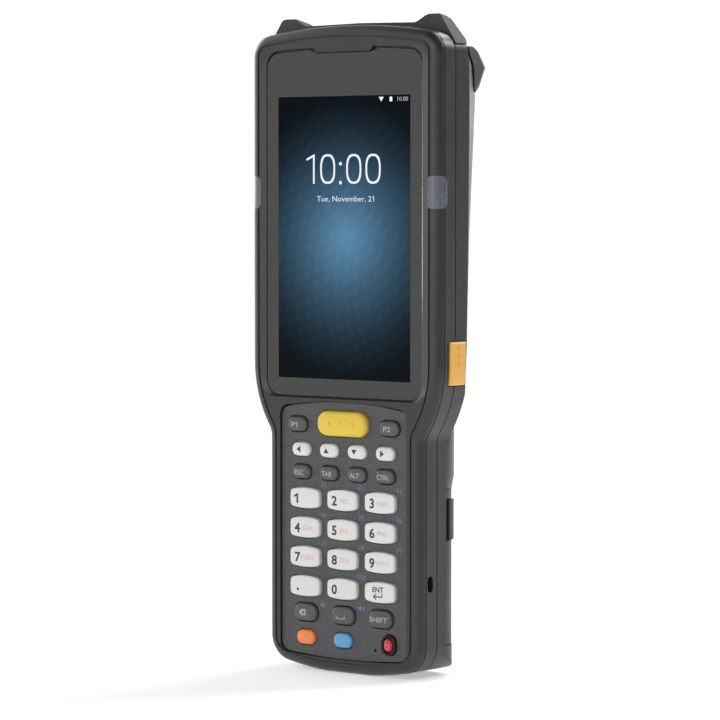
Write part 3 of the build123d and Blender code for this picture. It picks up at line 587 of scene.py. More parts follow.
def wallpaper(name, glow, centre, spread):
    """Lit picture: a blue glow that fades to near black, under a faint pattern of ripples."""
    material, tree, shader = new_material(
        name, BLACK, Roughness=0.12, Specular_IOR_Level=0.03, Emission_Strength=1.0)
    place = object_place(tree)
    centred = add_node(tree, "ShaderNodeMapping", {
        "Vector": place, "Location": (-centre[0] / spread, 0, -centre[1] / spread),
        "Scale": (1 / spread, 0, 1 / spread)})
    away = add_node(
        tree, "ShaderNodeVectorMath", {0: centred.outputs["Vector"]}, operation="LENGTH")
    ripples = RIPPLE_DEPTH
    for x, z in RIPPLE_CENTRES:
        moved = add_node(tree, "ShaderNodeMapping", {"Vector": place, "Location": (x, 0, -z)})
        rings = add_node(tree, "ShaderNodeTexWave", {
            "Vector": moved.outputs["Vector"], "Scale": RIPPLE_SCALE, "Distortion": 0.0,
        }, wave_type="RINGS", rings_direction="Y")
        ripples = computed(tree, "MULTIPLY", rings.outputs["Fac"], ripples)
    reach = computed(tree, "SUBTRACT", away.outputs["Value"], ripples)
    stops = [(position, [share * c for c in glow]) for position, share in GLOW_FADE]
    picture = ramped(tree, reach, (*stops, *NIGHT_FADE))
    feed(tree, shader, {"Emission Color": picture})
    return material


def all_materials(colours, sizes):
    """Every finish of the terminal by its name."""
    grain, plate_grain = sizes.grain, sizes.panel_grain
    return {
        # Moulded: colour, grain, depth, roughness, speckle.
        "housing": moulded("housing_plastic", colours.housing, grain, 0.03 * MM, 0.37),
        "rubber": moulded("bumper_rubber", colours.rubber, grain, 0.03 * MM, 0.55),
        "panel": moulded("panel_plastic", colours.panel, plate_grain, 0.13 * MM, 0.45, 0.36),
        "panel_edge": moulded("panel_worn_edge", colours.panel, plate_grain, 0.01 * MM, 0.22),
        "battery": moulded("battery_plastic", colours.housing, grain, 0.03 * MM, 0.46),
        "latch": moulded("latch_plastic", (0.009, 0.009, 0.0095), grain, 0.02 * MM, 0.45,
                         Specular_IOR_Level=0.2),
        "trigger": moulded("trigger_yellow", colours.trigger, 0.5 * MM, 0.012 * MM, 0.36, 0.03),
        "white": moulded("key_white", colours.white_key, 0.6 * MM, 0.008 * MM, 0.34, 0.015),
        "grey": moulded("key_grey", colours.grey_key, 0.35 * MM, 0.012 * MM, 0.36, 0.05),
        "scan": moulded("key_yellow", colours.scan_key, 0.5 * MM, 0.012 * MM, 0.36, 0.03),
        "orange": moulded("key_orange", colours.orange_key, 0.5 * MM, 0.01 * MM, 0.34, 0.02),
        "blue": moulded("key_blue", colours.blue_key, 0.5 * MM, 0.01 * MM, 0.34, 0.02),
        "red": moulded("key_red", colours.red_key, 0.5 * MM, 0.01 * MM, 0.30, 0.02),
        "mat": moulded("mat_rubber", (0.022, 0.022, 0.024), 0.4 * MM, 0.02 * MM, 0.70),
        "cloth": moulded("speaker_cloth", (0.010, 0.010, 0.010), 0.25 * MM, 0.08 * MM, 0.85),
        # Glossy: colour, roughness, depth, speckle.
        "ring": glossy("ring_gloss", (0.004, 0.004, 0.005), 0.10, Specular_IOR_Level=0.3),
        "border": glossy("window_border", colours.border, 0.35, 0.001 * MM, 0.02,
                         Specular_IOR_Level=0.3),
        "edge": glossy("window_edge", (0.05, 0.051, 0.052), 0.10, 0.0004 * MM,
                       Specular_IOR_Level=1.0),
        "pipe": glossy("light_pipe", (0.105, 0.115, 0.135), 0.28, 0.0005 * MM, Coat_Weight=0.2),
        "tint": glossy("scan_window_tint", (0.028, 0.004, 0.005), 0.08, Coat_Weight=0.8),
        "black": glossy("black_plastic", (0.012, 0.012, 0.013), 0.40),
        "dark_ink": glossy("ink_dark", (0.035, 0.036, 0.038), 0.45),
        "light_ink": glossy("ink_light", (0.36, 0.37, 0.37), 0.45),
        "orange_ink": glossy("ink_orange", (0.70, 0.34, 0.15), 0.45),
        "blue_ink": glossy("ink_blue", (0.095, 0.19, 0.31), 0.45),
        "pink_ink": glossy("ink_pink", (0.70, 0.26, 0.26), 0.40),
        # Metal: colour, roughness.
        "steel": metal("screw_steel", (0.30, 0.30, 0.31), 0.32),
        "cast": metal("chassis_metal", (0.55, 0.56, 0.57), 0.42),
        "gold": metal("contact_gold", (0.80, 0.58, 0.22), 0.25),
        "board": circuit_board("circuit_board"),
    }


_finishes = {}


def finish(name):
    """A finish of the terminal, made once and kept by name."""
    if not _finishes:
        scene = bpy.context.scene
        _finishes.update(all_materials(scene.terminal_colours, scene.terminal_sizes))
    return _finishes[name]


# ---- Geometry Nodes: rows of marks, pads and screws ----

def copying_tree(name, inputs, points_and_pattern):
    """Tree that sets copies of a pattern on points, as points_and_pattern(tree, given) says."""
    tree = bpy.data.node_groups.new(name, "GeometryNodeTree")
    for label, kind in {**inputs, "Material": "Material"}.items():
        tree.interface.new_socket(label, in_out="INPUT", socket_type="NodeSocket" + kind)
    tree.interface.new_socket("Geometry", in_out="OUTPUT", socket_type="NodeSocketGeometry")
    given = tree.nodes.new("NodeGroupInput").outputs
    copies = add_node(tree, "GeometryNodeInstanceOnPoints", points_and_pattern(tree, given))
    solid = add_node(tree, "GeometryNodeRealizeInstances", {
        "Geometry": copies.outputs["Instances"]})
    painted = add_node(tree, "GeometryNodeSetMaterial", {
        "Geometry": solid.outputs["Geometry"], "Material": given["Material"]})
    add_node(tree, "NodeGroupOutput", {"Geometry": painted.outputs["Geometry"]})
    return tree


def row_of_balls(tree, given):
    """Balls of a size in a row, from a first place on by a step."""
    line = add_node(tree, "GeometryNodeMeshLine", {
        "Count": given["Count"], "Start Location": given["First"], "Offset": given["Step"]})
    ball = add_node(tree, "GeometryNodeMeshUVSphere", {"Segments": 20, "Rings": 12, "Radius": 0.5})
    return {
        "Points": line.outputs["Mesh"], "Instance": ball.outputs["Mesh"], "Scale": given["Size"]}


def object_on_points(tree, given):
    """An object's mesh at every start point."""
    pattern = add_node(tree, "GeometryNodeObjectInfo", {"Object": given["Pattern"]})
    return {"Points": given["Points"], "Instance": pattern.outputs["Geometry"]}


def grown_mesh(tree, values, points=()):
    """Plain mesh that a tree makes from its named values and a few start points."""
    seed = bpy.data.meshes.new(tree.name)
    seed.from_pydata(points, [], [])
    maker = in_scene(tree.name, seed)
    modifier = maker.modifiers.new("grow", "NODES")
    modifier.node_group = tree
    for item in tree.interface.items_tree:
        if item.name in values:
            modifier[item.identifier] = values[item.name]
    return plain_mesh(maker)


def add_domes(name, body, slot, look, **row):
    """Adds a row of domes, told by its Count, First, Step and Size, as one smooth piece."""
    tree = bpy.data.node_groups.get("dome_row") or copying_tree(
        "dome_row", {"Count": "Int", "First": "Vector", "Step": "Vector", "Size": "Vector"},
        row_of_balls)
    mesh = grown_mesh(tree, {**row, "Material": finish(look)})
    mesh.shade_smooth()
    add_piece(name, mesh, body, slot)


# ---- Keys ----

def key_outline(width, height, corner, bow=0.0):
    """Points round a key, with round corners that run smoothly into its bowed ends."""
    half = width / 2 - corner
    top = height / 2 - corner
    fall = max(bow, LEAST_BOW)
    arc = (half * half + fall * fall) / (2 * fall)
    lean = math.asin(half / arc)
    quarter = []
    for step in range(CORNER_STEPS + 1):
        turn = (math.pi / 2 - lean) * step / CORNER_STEPS
        quarter.append((half + corner * math.cos(turn), top - fall + corner * math.sin(turn)))
    for step in range(1, END_STEPS + 1):
        turn = lean * (1 - step / END_STEPS)
        reach = arc + corner
        quarter.append((reach * math.sin(turn), top - arc + reach * math.cos(turn)))
    upper = quarter + [(-x, z) for x, z in reversed(quarter[:-1])]
    return upper + [(x, -z) for x, z in reversed(upper)]


def middle_of(low, high):
    """Middle of a box in x and z."""
    return (low.x + high.x) / 2, (low.z + high.z) / 2


class KeyShape:
    """Place and size of a key, read from the frame."""

    def __init__(self, name):
        self.node = "key_" + name
        low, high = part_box(self.node)
        self.x, self.z = middle_of(low, high)
        self.width = high.x - low.x - 2 * LIP_WIDTH
        self.height = high.z - low.z - 2 * LIP_WIDTH
        self.crown_y = low.y
        self.back_y = high.y
        if name == "scan":
            self.crown_y += MARK_RISE
            self.z += SCAN_TRIM / 2
            self.height -= SCAN_TRIM
        self.bowed = name in NUMBER_KEYS
        if self.bowed:
            self.corner = TILE_CORNER * self.height
        else:
            self.corner = CAPSULE_CORNER * min(self.width, self.height)

    def outline(self, grow):
        """Points round the key, larger all round by the given amount."""
        bow = TILE_BOW if self.bowed else 0.0
        corner = max(self.corner + grow, LEAST_CORNER)
        return key_outline(self.width + 2 * grow, self.height + 2 * grow, corner, bow)

    def placed(self, points, y, scale=1.0):
        """Points of an outline at a depth, in the key's place."""
        return [(self.x + scale * px, y, self.z + scale * pz) for px, pz in points]


def depth_finder(shell):
    """Function that gives the depth of a piece's front at x and z."""
    tree = BVHTree.FromBMesh(shell)
    front = min(vertex.co.y for vertex in shell.verts)

    def depth(x, z):
        hit = tree.ray_cast(Vector((x, front - 1 * MM, z)), Vector((0, 1, 0)))[0]
        return hit.y if hit else front

    return depth


def keycap(shape, edge, dome):
    """Keycap with a lip behind the plate, a round edge and a slightly domed face."""
    lip_y = shape.back_y - LIP_DEPTH
    rings = [
        shape.placed(shape.outline(LIP_WIDTH), shape.back_y),
        shape.placed(shape.outline(LIP_WIDTH), lip_y),
        shape.placed(shape.outline(0), lip_y),
    ]
    face_y = shape.crown_y + dome
    for step in range(EDGE_STEPS + 1):
        turn = math.pi / 2 * step / EDGE_STEPS
        inset = edge * (1 - math.cos(turn))
        rings.append(shape.placed(shape.outline(-inset), face_y + edge * (1 - math.sin(turn))))
    rim = shape.outline(-edge)
    for step in range(1, CROWN_STEPS):
        share = 1 - step / CROWN_STEPS
        rings.append(shape.placed(rim, face_y - dome * (1 - share * share), share))
    return lofted(rings, ((shape.x, shape.back_y, shape.z), (shape.x, shape.crown_y, shape.z)))


def key_finish(name):
    """Finish and edge radius of a key."""
    sizes = bpy.context.scene.terminal_sizes
    if name in SPECIAL_KEYS:
        return SPECIAL_KEYS[name]
    if name in NUMBER_KEYS:
        return "white", sizes.tile_edge
    colour = "white" if name in ARROW_KEYS else "grey" if name in WORD_KEYS else name
    return colour, sizes.small_edge


# ---- Legends ----

LETTERS = dict(zip("23456789", ("ABC", "DEF", "GHI", "JKL", "MNO", "PQRS", "TUV", "WXYZ")))
LETTER_WIDTHS = {3: 4.0 * MM, 4: 4.9 * MM}
WORDS = {
    "p1": ("P1", 2.4), "p2": ("P2", 2.8), "esc": ("ESC", 3.6), "tab": ("TAB", 3.9),
    "alt": ("ALT", 3.8), "ctrl": ("CTRL", 4.9), "shift": ("SHIFT", 7.1),
}
TURNS = {"right": 0, "up": 1, "left": 2, "down": 3}


def backspace_loops(size):
    """Tag that points left, with a cross cut out of it."""
    slope, end, half_height = -0.35 * size, size, 0.72 * size
    tag = [(-size, 0), (slope, half_height), (end, half_height), (end, -half_height),
           (slope, -half_height)]
    arm, half = 0.13 * size, 0.52 * size
    cross = [point for turn in range(4)
             for point in turned([(arm, arm), (half, arm), (half, -arm)], turn)]
    cross.sort(key=lambda point: math.atan2(point[1], point[0]))
    slant = math.sqrt(0.5)
    return [tag, [((x - y) * slant + 0.28 * size, (x + y) * slant) for x, y in cross]]


def return_arrow_loops(size):
    """Arrow that comes down and runs left."""
    hook = [(size, 0.62 * size), (size, 0), (-0.8 * size, 0)]
    head = [(-0.35 * size, 0.5 * size), (-0.95 * size, 0), (-0.35 * size, -0.5 * size)]
    return [ribbon(line, 0.22 * size) for line in (hook, head)]


def power_loops(size):
    """Broken ring with a stroke through its gap."""
    gap = math.radians(38)
    steps = 28
    arc = []
    for step in range(steps + 1):
        turn = math.pi / 2 + gap + (math.tau - 2 * gap) * step / steps
        arc.append((size * math.cos(turn), size * math.sin(turn)))
    return [ribbon(line, 0.26 * size) for line in (arc, [(0, 0.25 * size), (0, 1.15 * size)])]


def speaker_loops(size, waves):
    """Small loudspeaker with sound waves."""
    body = [(-1, -0.3), (-0.5, -0.3), (0, -0.8), (0, 0.8), (-0.5, 0.3), (-1, 0.3)]
    shapes = [shifted([body], 0, 0, size)]
    for wave in range(waves):
        reach = (0.55 + 0.45 * wave) * size
        arc = [(reach * math.cos(a), reach * math.sin(a)) for a in (-0.7, -0.35, 0, 0.35, 0.7)]
        shapes.append(ribbon(arc, 0.2 * size))
    return shapes


def print_legend(cap, name, shape):
    """Stamps a key's legend onto its cap; slot 1 is its main ink and slot 2 the letters' ink."""
    digit_height = bpy.context.scene.terminal_sizes.digit_height
    digit_x = -0.235 * shape.width
    digit_z = -0.018 * shape.height
    face = depth_finder(cap)

    def mark(mesh, x, z, slot=1):
        stamp(cap, diced(mesh), (shape.x + x, shape.z + z), face, slot)

    if name.isdigit():
        mark(words(name, digit_height, weight=0.042, stretch=1.08), digit_x, digit_z)
    if name in LETTERS:
        letters = LETTERS[name]
        width = LETTER_WIDTHS[len(letters)]
        mark(words(letters, 1.45 * MM, width, -0.005), 0.11 * shape.width, digit_z, 2)
    if name == "point":
        mark(filled_curve([ellipse(0.44 * MM, 0.44 * MM)]), digit_x + 0.2 * MM, -1.1 * MM)
    if name == "enter":
        mark(words("ENT", 1.65 * MM, 4.4 * MM, 0.035), -0.45 * MM, 0.95 * MM)
        for loops in return_arrow_loops(1.7 * MM):
            mark(filled_curve(loops), -0.5 * MM, -1.3 * MM)
    if name in TURNS:
        triangle = [(-0.81 * MM, -1.08 * MM), (0.81 * MM, 0), (-0.81 * MM, 1.08 * MM)]
        mark(filled_curve([turned(triangle, TURNS[name])]), -0.55 * MM, 0)
    if name in WORDS:
        word, width = WORDS[name]
        mark(words(word, 1.6 * MM, width * MM, 0.012), -0.4 * MM, -0.1 * MM)
    if name == "backspace":
        mark(filled_curve(backspace_loops(1.35 * MM)), -0.8 * MM, 0)
    if name == "space":
        side, rise = 1.6 * MM, 0.4 * MM
        bracket = ribbon([(-side, rise), (-side, -rise), (side, -rise), (side, rise)], 0.24 * MM)
        mark(filled_curve(bracket), -0.4 * MM, -0.5 * MM)
    if name == "power":
        for loops in power_loops(0.75 * MM):
            mark(filled_curve(loops), 0, -0.2 * MM)


def main_ink(name):
    """Main ink of a key's legend."""
    if name in NUMBER_KEYS + ARROW_KEYS:
        return "dark_ink"
    return "pink_ink" if name == "power" else "light_ink"


# ---- Operators ----

class TERMINAL_OT_shells(bpy.types.Operator):
    """Gives the two shells, the bumpers, the battery and the latches their moulded skins"""

    bl_idname = "terminal.shells"
    bl_label = "Shells and bumpers"

    def execute(self, context):
        """Replaces each moulded node by a smooth piece."""
        for node in ("front_housing", "rear_housing"):
            dressed(node, HOUSING, finish("housing"))
        for node in ("top_bumper", "rear_bumper_left", "rear_bumper_right"):
            dressed(node, HOUSING, finish("rubber"), BUMPER_CREASE)
        dressed("battery_pack", "battery_pack", finish("battery"))
        for side in ("left", "right"):
            latch = "battery_latch_" + side
            dressed(latch, latch, finish("latch"))
            dressed("light_pipe_" + side, HOUSING, finish("pipe"))
        return {"FINISHED"}


class TERMINAL_OT_keys(bpy.types.Operator):
    """Makes the keycaps with their legends"""

    bl_idname = "terminal.keys"
    bl_label = "Keys and legends"

    def execute(self, context):
        """Builds each cap on its own body."""
        dome = context.scene.terminal_sizes.dome
        for name in ALL_KEYS:
            shape = KeyShape(name)
            colour, edge = key_finish(name)
            cap = keycap(shape, edge, dome if shape.bowed else 2 * dome)
            print_legend(cap, name, shape)
            title = shape.node + "_cap"
            add_piece(title, finished(cap, title), shape.node, slot_of(shape.node), finish(colour),
                      finish(main_ink(name)), finish("orange_ink"), node=shape.node)
        return {"FINISHED"}


class TERMINAL_OT_marks(bpy.types.Operator):
    """Sets the raised finger marks on the scan key and on both triggers"""

    bl_idname = "terminal.marks"
    bl_label = "Finger marks"

    def execute(self, context):
        """Grows each row of domes on its own body."""
        count = context.scene.terminal_sizes.mark_count
        shape = KeyShape("scan")
        pitch, width = 4.6 * MM, 1.25 * MM
        first = (shape.x - pitch * (count - 1) / 2, shape.crown_y + MARK_ROOT, shape.z)
        size = (width, 2 * (MARK_RISE + MARK_ROOT), width)
        add_domes("scan_key_marks", "key_scan", "key_yellow", "scan",
                  Count=count, First=first, Step=(pitch, 0, 0), Size=size)
        pitch, width, rise, root, lowest = 2.4 * MM, 1.1 * MM, 0.5 * MM, 0.22 * MM, 96.5 * MM
        for side, sign in (("left", -1), ("right", 1)):
            node = "side_trigger_" + side
            dressed(node, node, finish("trigger"))
            low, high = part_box(node)
            skin = (low.x if sign < 0 else high.x) - sign * root
            first = (skin, (low.y + high.y) / 2, lowest)
            add_domes(node + "_marks", node, "trigger_yellow", "trigger",
                      Count=count, First=first, Step=(0, 0, pitch), Size=(rise, width, width))
        return {"FINISHED"}


def bowed_outline(low, high, corner, low_bow, high_bow):
    """Points round an upright panel whose two ends bow outwards on the centre line."""
    size = (2 * high[0], high[1] - low[1], corner)
    middle = (high[1] + low[1]) / 2
    upper = [(x, middle + z) for x, z in key_outline(*size, high_bow) if z > 0]
    return upper + [(x, middle + z) for x, z in key_outline(*size, low_bow) if z < 0]


PLATE_CORNER = 3.2 * MM
PLATE_LOW_BOW, PLATE_HIGH_BOW = 1.2 * MM, 1.9 * MM
PLATE_BEVEL = 0.16 * MM
PLATE_EDGE = 0.3 * MM
MIC_RADIUS = 0.45 * MM
RING_CORNER, RING_HOLE_CORNER = 0.46, 0.40
RING_WALL = 1 * MM
RING_BEVEL = 0.38 * MM
RING_GAP = 0.05 * MM


def plate_outline(inset):
    """Points round the keypad plate, or inside its edge by the given amount."""
    low = (panel_low.x + inset, panel_low.z + inset)
    high = (panel_high.x - inset, panel_high.z - inset)
    return bowed_outline(low, high, PLATE_CORNER - inset, PLATE_LOW_BOW, PLATE_HIGH_BOW)


def inside(loop, x, y):
    """Whether a point lies inside a loop."""
    within = False
    for (ax, ay), (bx, by) in zip(loop, loop[1:] + loop[:1]):
        if (ay > y) != (by > y) and x < ax + (bx - ax) * (y - ay) / (by - ay):
            within = not within
    return within


def slanted(face):
    """Whether a face belongs to a bevel, so that it looks neither forward nor sideways."""
    return 0.2 < -face.normal.y < 0.95


class TERMINAL_OT_keypad_plate(bpy.types.Operator):
    """Makes the keypad plate with its prints, and the ring round the power key"""

    bl_idname = "terminal.keypad_plate"
    bl_label = "Keypad plate"

    def execute(self, context):
        """Cuts the plate round every key and prints on it."""
        loops = [plate_outline(0)]
        for name in ALL_KEYS:
            if name != "power":
                shape = KeyShape(name)
                loops += shifted([shape.outline(KEY_GAP)], shape.x, shape.z)
        ring, cut = self.ring()
        loops.append(cut)
        mic = middle_of(*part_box("microphone"))
        loops.append(ellipse(MIC_RADIUS, MIC_RADIUS, steps=24, centre=mic))
        sheet = weighted(smooth(plate(loops, panel_low.y, panel_high.y, PLATE_BEVEL)))
        worn = plate_outline(PLATE_EDGE)
        for polygon in sheet.polygons:
            x, _, z = polygon.center
            if slanted(polygon) and not inside(worn, x, z):
                polygon.material_index = 1
        add_piece("keypad_plate", sheet, HOUSING, "panel_plastic",
                  finish("panel"), finish("panel_edge"), node="keypad_panel")
        add_piece("power_ring", ring, HOUSING, "ring_plastic", finish("ring"),
                  node="power_key_ring")
        self.prints()
        return {"FINISHED"}

    def ring(self):
        """Mesh of the ring round the power key, and the loop that the plate leaves for it."""
        low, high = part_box("power_key_ring")
        place = middle_of(low, high)
        width, height = high.x - low.x, high.z - low.z
        corner = RING_CORNER * width
        hole_width, hole_height = width - 2 * RING_WALL, height - 2 * RING_WALL
        outer, hole, cut = shifted([
            key_outline(width, height, corner),
            key_outline(hole_width, hole_height, RING_HOLE_CORNER * hole_width),
            key_outline(width + 2 * RING_GAP, height + 2 * RING_GAP, corner),
        ], *place)
        return weighted(smooth(plate([outer, hole], low.y, high.y, RING_BEVEL))), cut

    def prints(self):
        """Blue function numbers and sound symbols."""
        inks = bmesh.new()

        def show(mesh, shape, right, up):
            place = (shape.x + shape.width / 2 + right, shape.z + shape.height / 2 + up)
            stamp(inks, mesh, place, lambda x, z: panel_low.y, 0, PRINT_LIFT, PRINT_SINK)

        for number, name in enumerate(NUMBER_KEYS[:9] + ("0",), 1):
            show(words("F" + str(number), 1.55 * MM), KeyShape(name), 1.1 * MM, 0.85 * MM)
        for name, waves in (("backspace", 1), ("space", 2)):
            for loops in speaker_loops(1.2 * MM, waves):
                show(filled_curve(loops), KeyShape(name), 2.3 * MM, -0.05 * MM)
        add_piece("panel_prints", finished(inks, "panel_prints"), HOUSING, "panel_plastic",
                  finish("blue_ink"))


GLASS_CORNER = 5 * MM
GLASS_BOW = 1.1 * MM
GLASS_CHAMFER = 0.3 * MM
NOTCH_DEPTH, NOTCH_BAND, NOTCH_GAP = 1.45 * MM, 5 * MM, 0.05 * MM
NOTCH_SIDE, NOTCH_TIP, NOTCH_SHOULDER = 14.05 * MM, 10.55 * MM, 0.02 * MM
PICTURE_SIDE, PICTURE_LOW, PICTURE_HIGH = 26.15 * MM, 91.05 * MM, 178.15 * MM
PICTURE_LIFT, PICTURE_SINK = 0.02 * MM, 0.3 * MM
GLOW_CENTRE = (0.95 * MM, 134.6 * MM)
GLOW_SPREAD = 44 * MM
FIGURE_LIFT = 0.02 * MM
FIGURE_LINE = 0.64 * MM
FIGURES_Z = 155.8


class TERMINAL_OT_window(bpy.types.Operator):
    """Makes the touch window with the lit screen in its border and what the screen shows"""

    bl_idname = "terminal.window"
    bl_label = "Window and screen"

    def execute(self, context):
        """Builds the border, the picture and its figures as one window."""
        front = glass_low.y
        picture = [(-PICTURE_SIDE, PICTURE_LOW), (PICTURE_SIDE, PICTURE_LOW),
                   (PICTURE_SIDE, PICTURE_HIGH), (-PICTURE_SIDE, PICTURE_HIGH)]
        window = bmesh.new()
        join(window, plate([self.glass_outline()], front, glass_high.y, GLASS_CHAMFER, 0), 0)
        window.normal_update()
        for face in window.faces:
            if slanted(face):
                face.material_index = 3
        join(window, plate([picture], front - PICTURE_LIFT, front + PICTURE_SINK), 1)
        self.figures(window, context.scene.terminal_sizes, front - PICTURE_LIFT)
        glow = tuple(context.scene.terminal_colours.glow)
        lit = wallpaper("screen_picture", glow, GLOW_CENTRE, GLOW_SPREAD)
        white = new_material("screen_white", BLACK, Roughness=0.4, Specular_IOR_Level=0.0,
                             Emission_Color=(0.90, 0.95, 1.0, 1), Emission_Strength=1.0)[0]
        add_piece("touch_window_glass", finished(window, "touch_window_glass"), HOUSING,
                  "window_glass", finish("border"), lit, white, finish("edge"),
                  node="touch_window")
        return {"FINISHED"}

    def glass_outline(self):
        """Edge of the window, with the notch for the housing's lip at its top."""
        outline = bowed_outline(
            (glass_low.x, glass_low.z), (glass_high.x, glass_high.z), GLASS_CORNER, 0, GLASS_BOW)
        tip_z = glass_high.z - NOTCH_DEPTH
        band = tip_z - NOTCH_BAND
        kept = [(x, z) for x, z in outline if abs(x) > NOTCH_SIDE + NOTCH_GAP or z < band]
        turn = max(index for index, (x, z) in enumerate(kept) if x > 0 and z > band) + 1
        shoulder = kept[turn - 1][1] + NOTCH_SHOULDER
        notch = [(NOTCH_SIDE, shoulder), (NOTCH_TIP, tip_z), (-NOTCH_TIP, tip_z),
                 (-NOTCH_SIDE, shoulder)]
        return kept[:turn] + notch + kept[turn:]

    def figures(self, window, sizes, front):
        """Clock, date and status marks in front of the picture, placed in millimetres."""

        def show(mesh, x, z):
            place = (x * MM, z * MM)
            stamp(window, mesh, place, lambda x, z: front, 2, FIGURE_LIFT, FIGURE_LIFT)

        half_width, half_height = 2.97 * MM, 4.55 * MM
        zero = [ellipse(half_width, half_height, 2.7),
                ellipse(half_width - FIGURE_LINE, half_height - FIGURE_LINE, 2.5)]
        for x in (-6.25, 4.1, 11.7):
            show(filled_curve(zero), x, FIGURES_Z)
        one = ribbon([(-2.9 * MM, 2.9 * MM), (0, 4.15 * MM), (0, -4.5 * MM)], FIGURE_LINE)
        show(filled_curve(one), -11.8, FIGURES_Z)
        for z in (157.4, 151.6):
            show(filled_curve([ellipse(0.55 * MM, 0.55 * MM, steps=20)]), -1.15, z)
        show(words(sizes.date, 1.75 * MM, 22.6 * MM, -0.012), 1.0, 146.7)
        show(words(sizes.clock, 1.4 * MM, 4.1 * MM, -0.035), 23.05, 176.95)
        signal = [(-0.95 * MM, 0.7 * MM), (0, -0.75 * MM), (0.95 * MM, 0.7 * MM)]
        show(filled_curve([signal]), 14.9, 176.9)
        cell = [(-0.6, -0.85), (0.6, -0.85), (0.6, 0.6), (0.25, 0.6), (0.25, 0.85),
                (-0.25, 0.85), (-0.25, 0.6), (-0.6, 0.6)]
        show(filled_curve(shifted([cell], 0, 0, 0.88 * MM)), 18.65, 176.95)


INNER_FINISHES = {
    "keypad_mat": "mat", "seal_gasket": "mat", "keypad_board": "board", "main_board": "board",
    "chassis": "cast", "scan_engine": "cast", "battery_cell": "cast", "microphone": "black",
    "earpiece": "black", "loudspeaker": "cloth", "trigger_switches": "black",
    "battery_contacts": "gold", "dock_connector": "black", "scan_window": "tint",
    "display_module": "black",
}

# Screws: radii and depths of the shank, the pan head and its six-lobed recess.
SHANK_RADIUS, HEAD_RADIUS, RECESS_RADIUS = 1.0 * MM, 2.2 * MM, 1.05 * MM
HEAD_HEIGHT, RECESS_DEPTH = 1.6 * MM, 0.8 * MM
LOBES, LOBE_DEPTH, SCREW_SIDES = 6, 0.13, 36
SCREWS_SPLIT_Z, SCREW_FACE = 130 * MM, 0.1 * MM


class TERMINAL_OT_fittings(bpy.types.Operator):
    """Makes the screws and finishes the windows, contacts and everything inside the shells"""

    bl_idname = "terminal.fittings"
    bl_label = "Screws and inner parts"

    def execute(self, context):
        """Sets screws by their points and paints the nodes that stay."""
        self.screws()
        for node, name in INNER_FINISHES.items():
            materials = frame["nodes"][node].data.materials
            materials.clear()
            materials.append(finish(name))
        self.pads()
        return {"FINISHED"}

    def screws(self):
        """Pan heads with a star recess on the four screw axes."""
        low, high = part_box("housing_screws")
        places = [vertex.co for vertex in frame["nodes"]["housing_screws"].data.vertices]
        heads = [place for place in places if place.y > high.y - SCREW_FACE]
        centres = []
        for side in (-1, 1):
            for upper in (False, True):
                near = [head for head in heads
                        if head.x * side > 0 and (head.z > SCREWS_SPLIT_Z) == upper]
                middle = sum(near, Vector()) / len(near)
                centres.append((middle.x, high.y, middle.z))
        pattern = in_scene("screw_pattern", self.screw_mesh(high.y - low.y))
        tree = copying_tree(
            "copies_at_points", {"Points": "Geometry", "Pattern": "Object"}, object_on_points)
        mesh = grown_mesh(tree, {"Pattern": pattern, "Material": finish("steel")}, centres)
        bpy.data.objects.remove(pattern)
        add_piece("housing_screw_set", smooth(mesh), HOUSING, "screw_steel", node="housing_screws")

    def screw_mesh(self, length):
        """One screw: six-lobed recess in a pan head, and a shank."""

        def ring(radius, y, lobes=0.0):
            points = []
            for side in range(SCREW_SIDES):
                turn = math.tau * side / SCREW_SIDES
                reach = radius * (1 + lobes * math.cos(LOBES * turn))
                points.append((reach * math.cos(turn), y, reach * math.sin(turn)))
            return points

        pan = ((1.0, 0.55), (0.93, 0.2), (0.78, 0.04), (0.62, 0.0))
        rings = [
            ring(SHANK_RADIUS, -length), ring(SHANK_RADIUS, -HEAD_HEIGHT),
            ring(HEAD_RADIUS, -HEAD_HEIGHT),
            *(ring(share * HEAD_RADIUS, -depth * MM) for share, depth in pan),
            ring(RECESS_RADIUS, 0.0, LOBE_DEPTH),
            ring(RECESS_RADIUS - 0.05 * MM, -RECESS_DEPTH, LOBE_DEPTH),
        ]
        return finished(lofted(rings, ((0, -length, 0), (0, -RECESS_DEPTH, 0))), "screw")

    def pads(self):
        """Spring contacts in the charging recess of the foot."""
        low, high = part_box("dock_connector")
        count, pitch = 4, 4.0 * MM
        first = (-pitch * (count - 1) / 2, (low.y + high.y) / 2, low.z + 0.28 * MM)
        add_domes("charging_pads", HOUSING, "contact_brass", "gold", Count=count, First=first,
                  Step=(pitch, 0, 0), Size=(1.5 * MM, 2.0 * MM, 0.4 * MM))


FLOOR_REACH = 60.0
LOBE_SHARPNESS = 10.0
LIGHTS_AIM = Vector((0, 0, 0.11))
CAMERA_PLACE = (0.67266, -0.83471, 0.14846)
CAMERA_DOWN, CAMERA_TURN = math.radians(2.7727), math.radians(39.101)


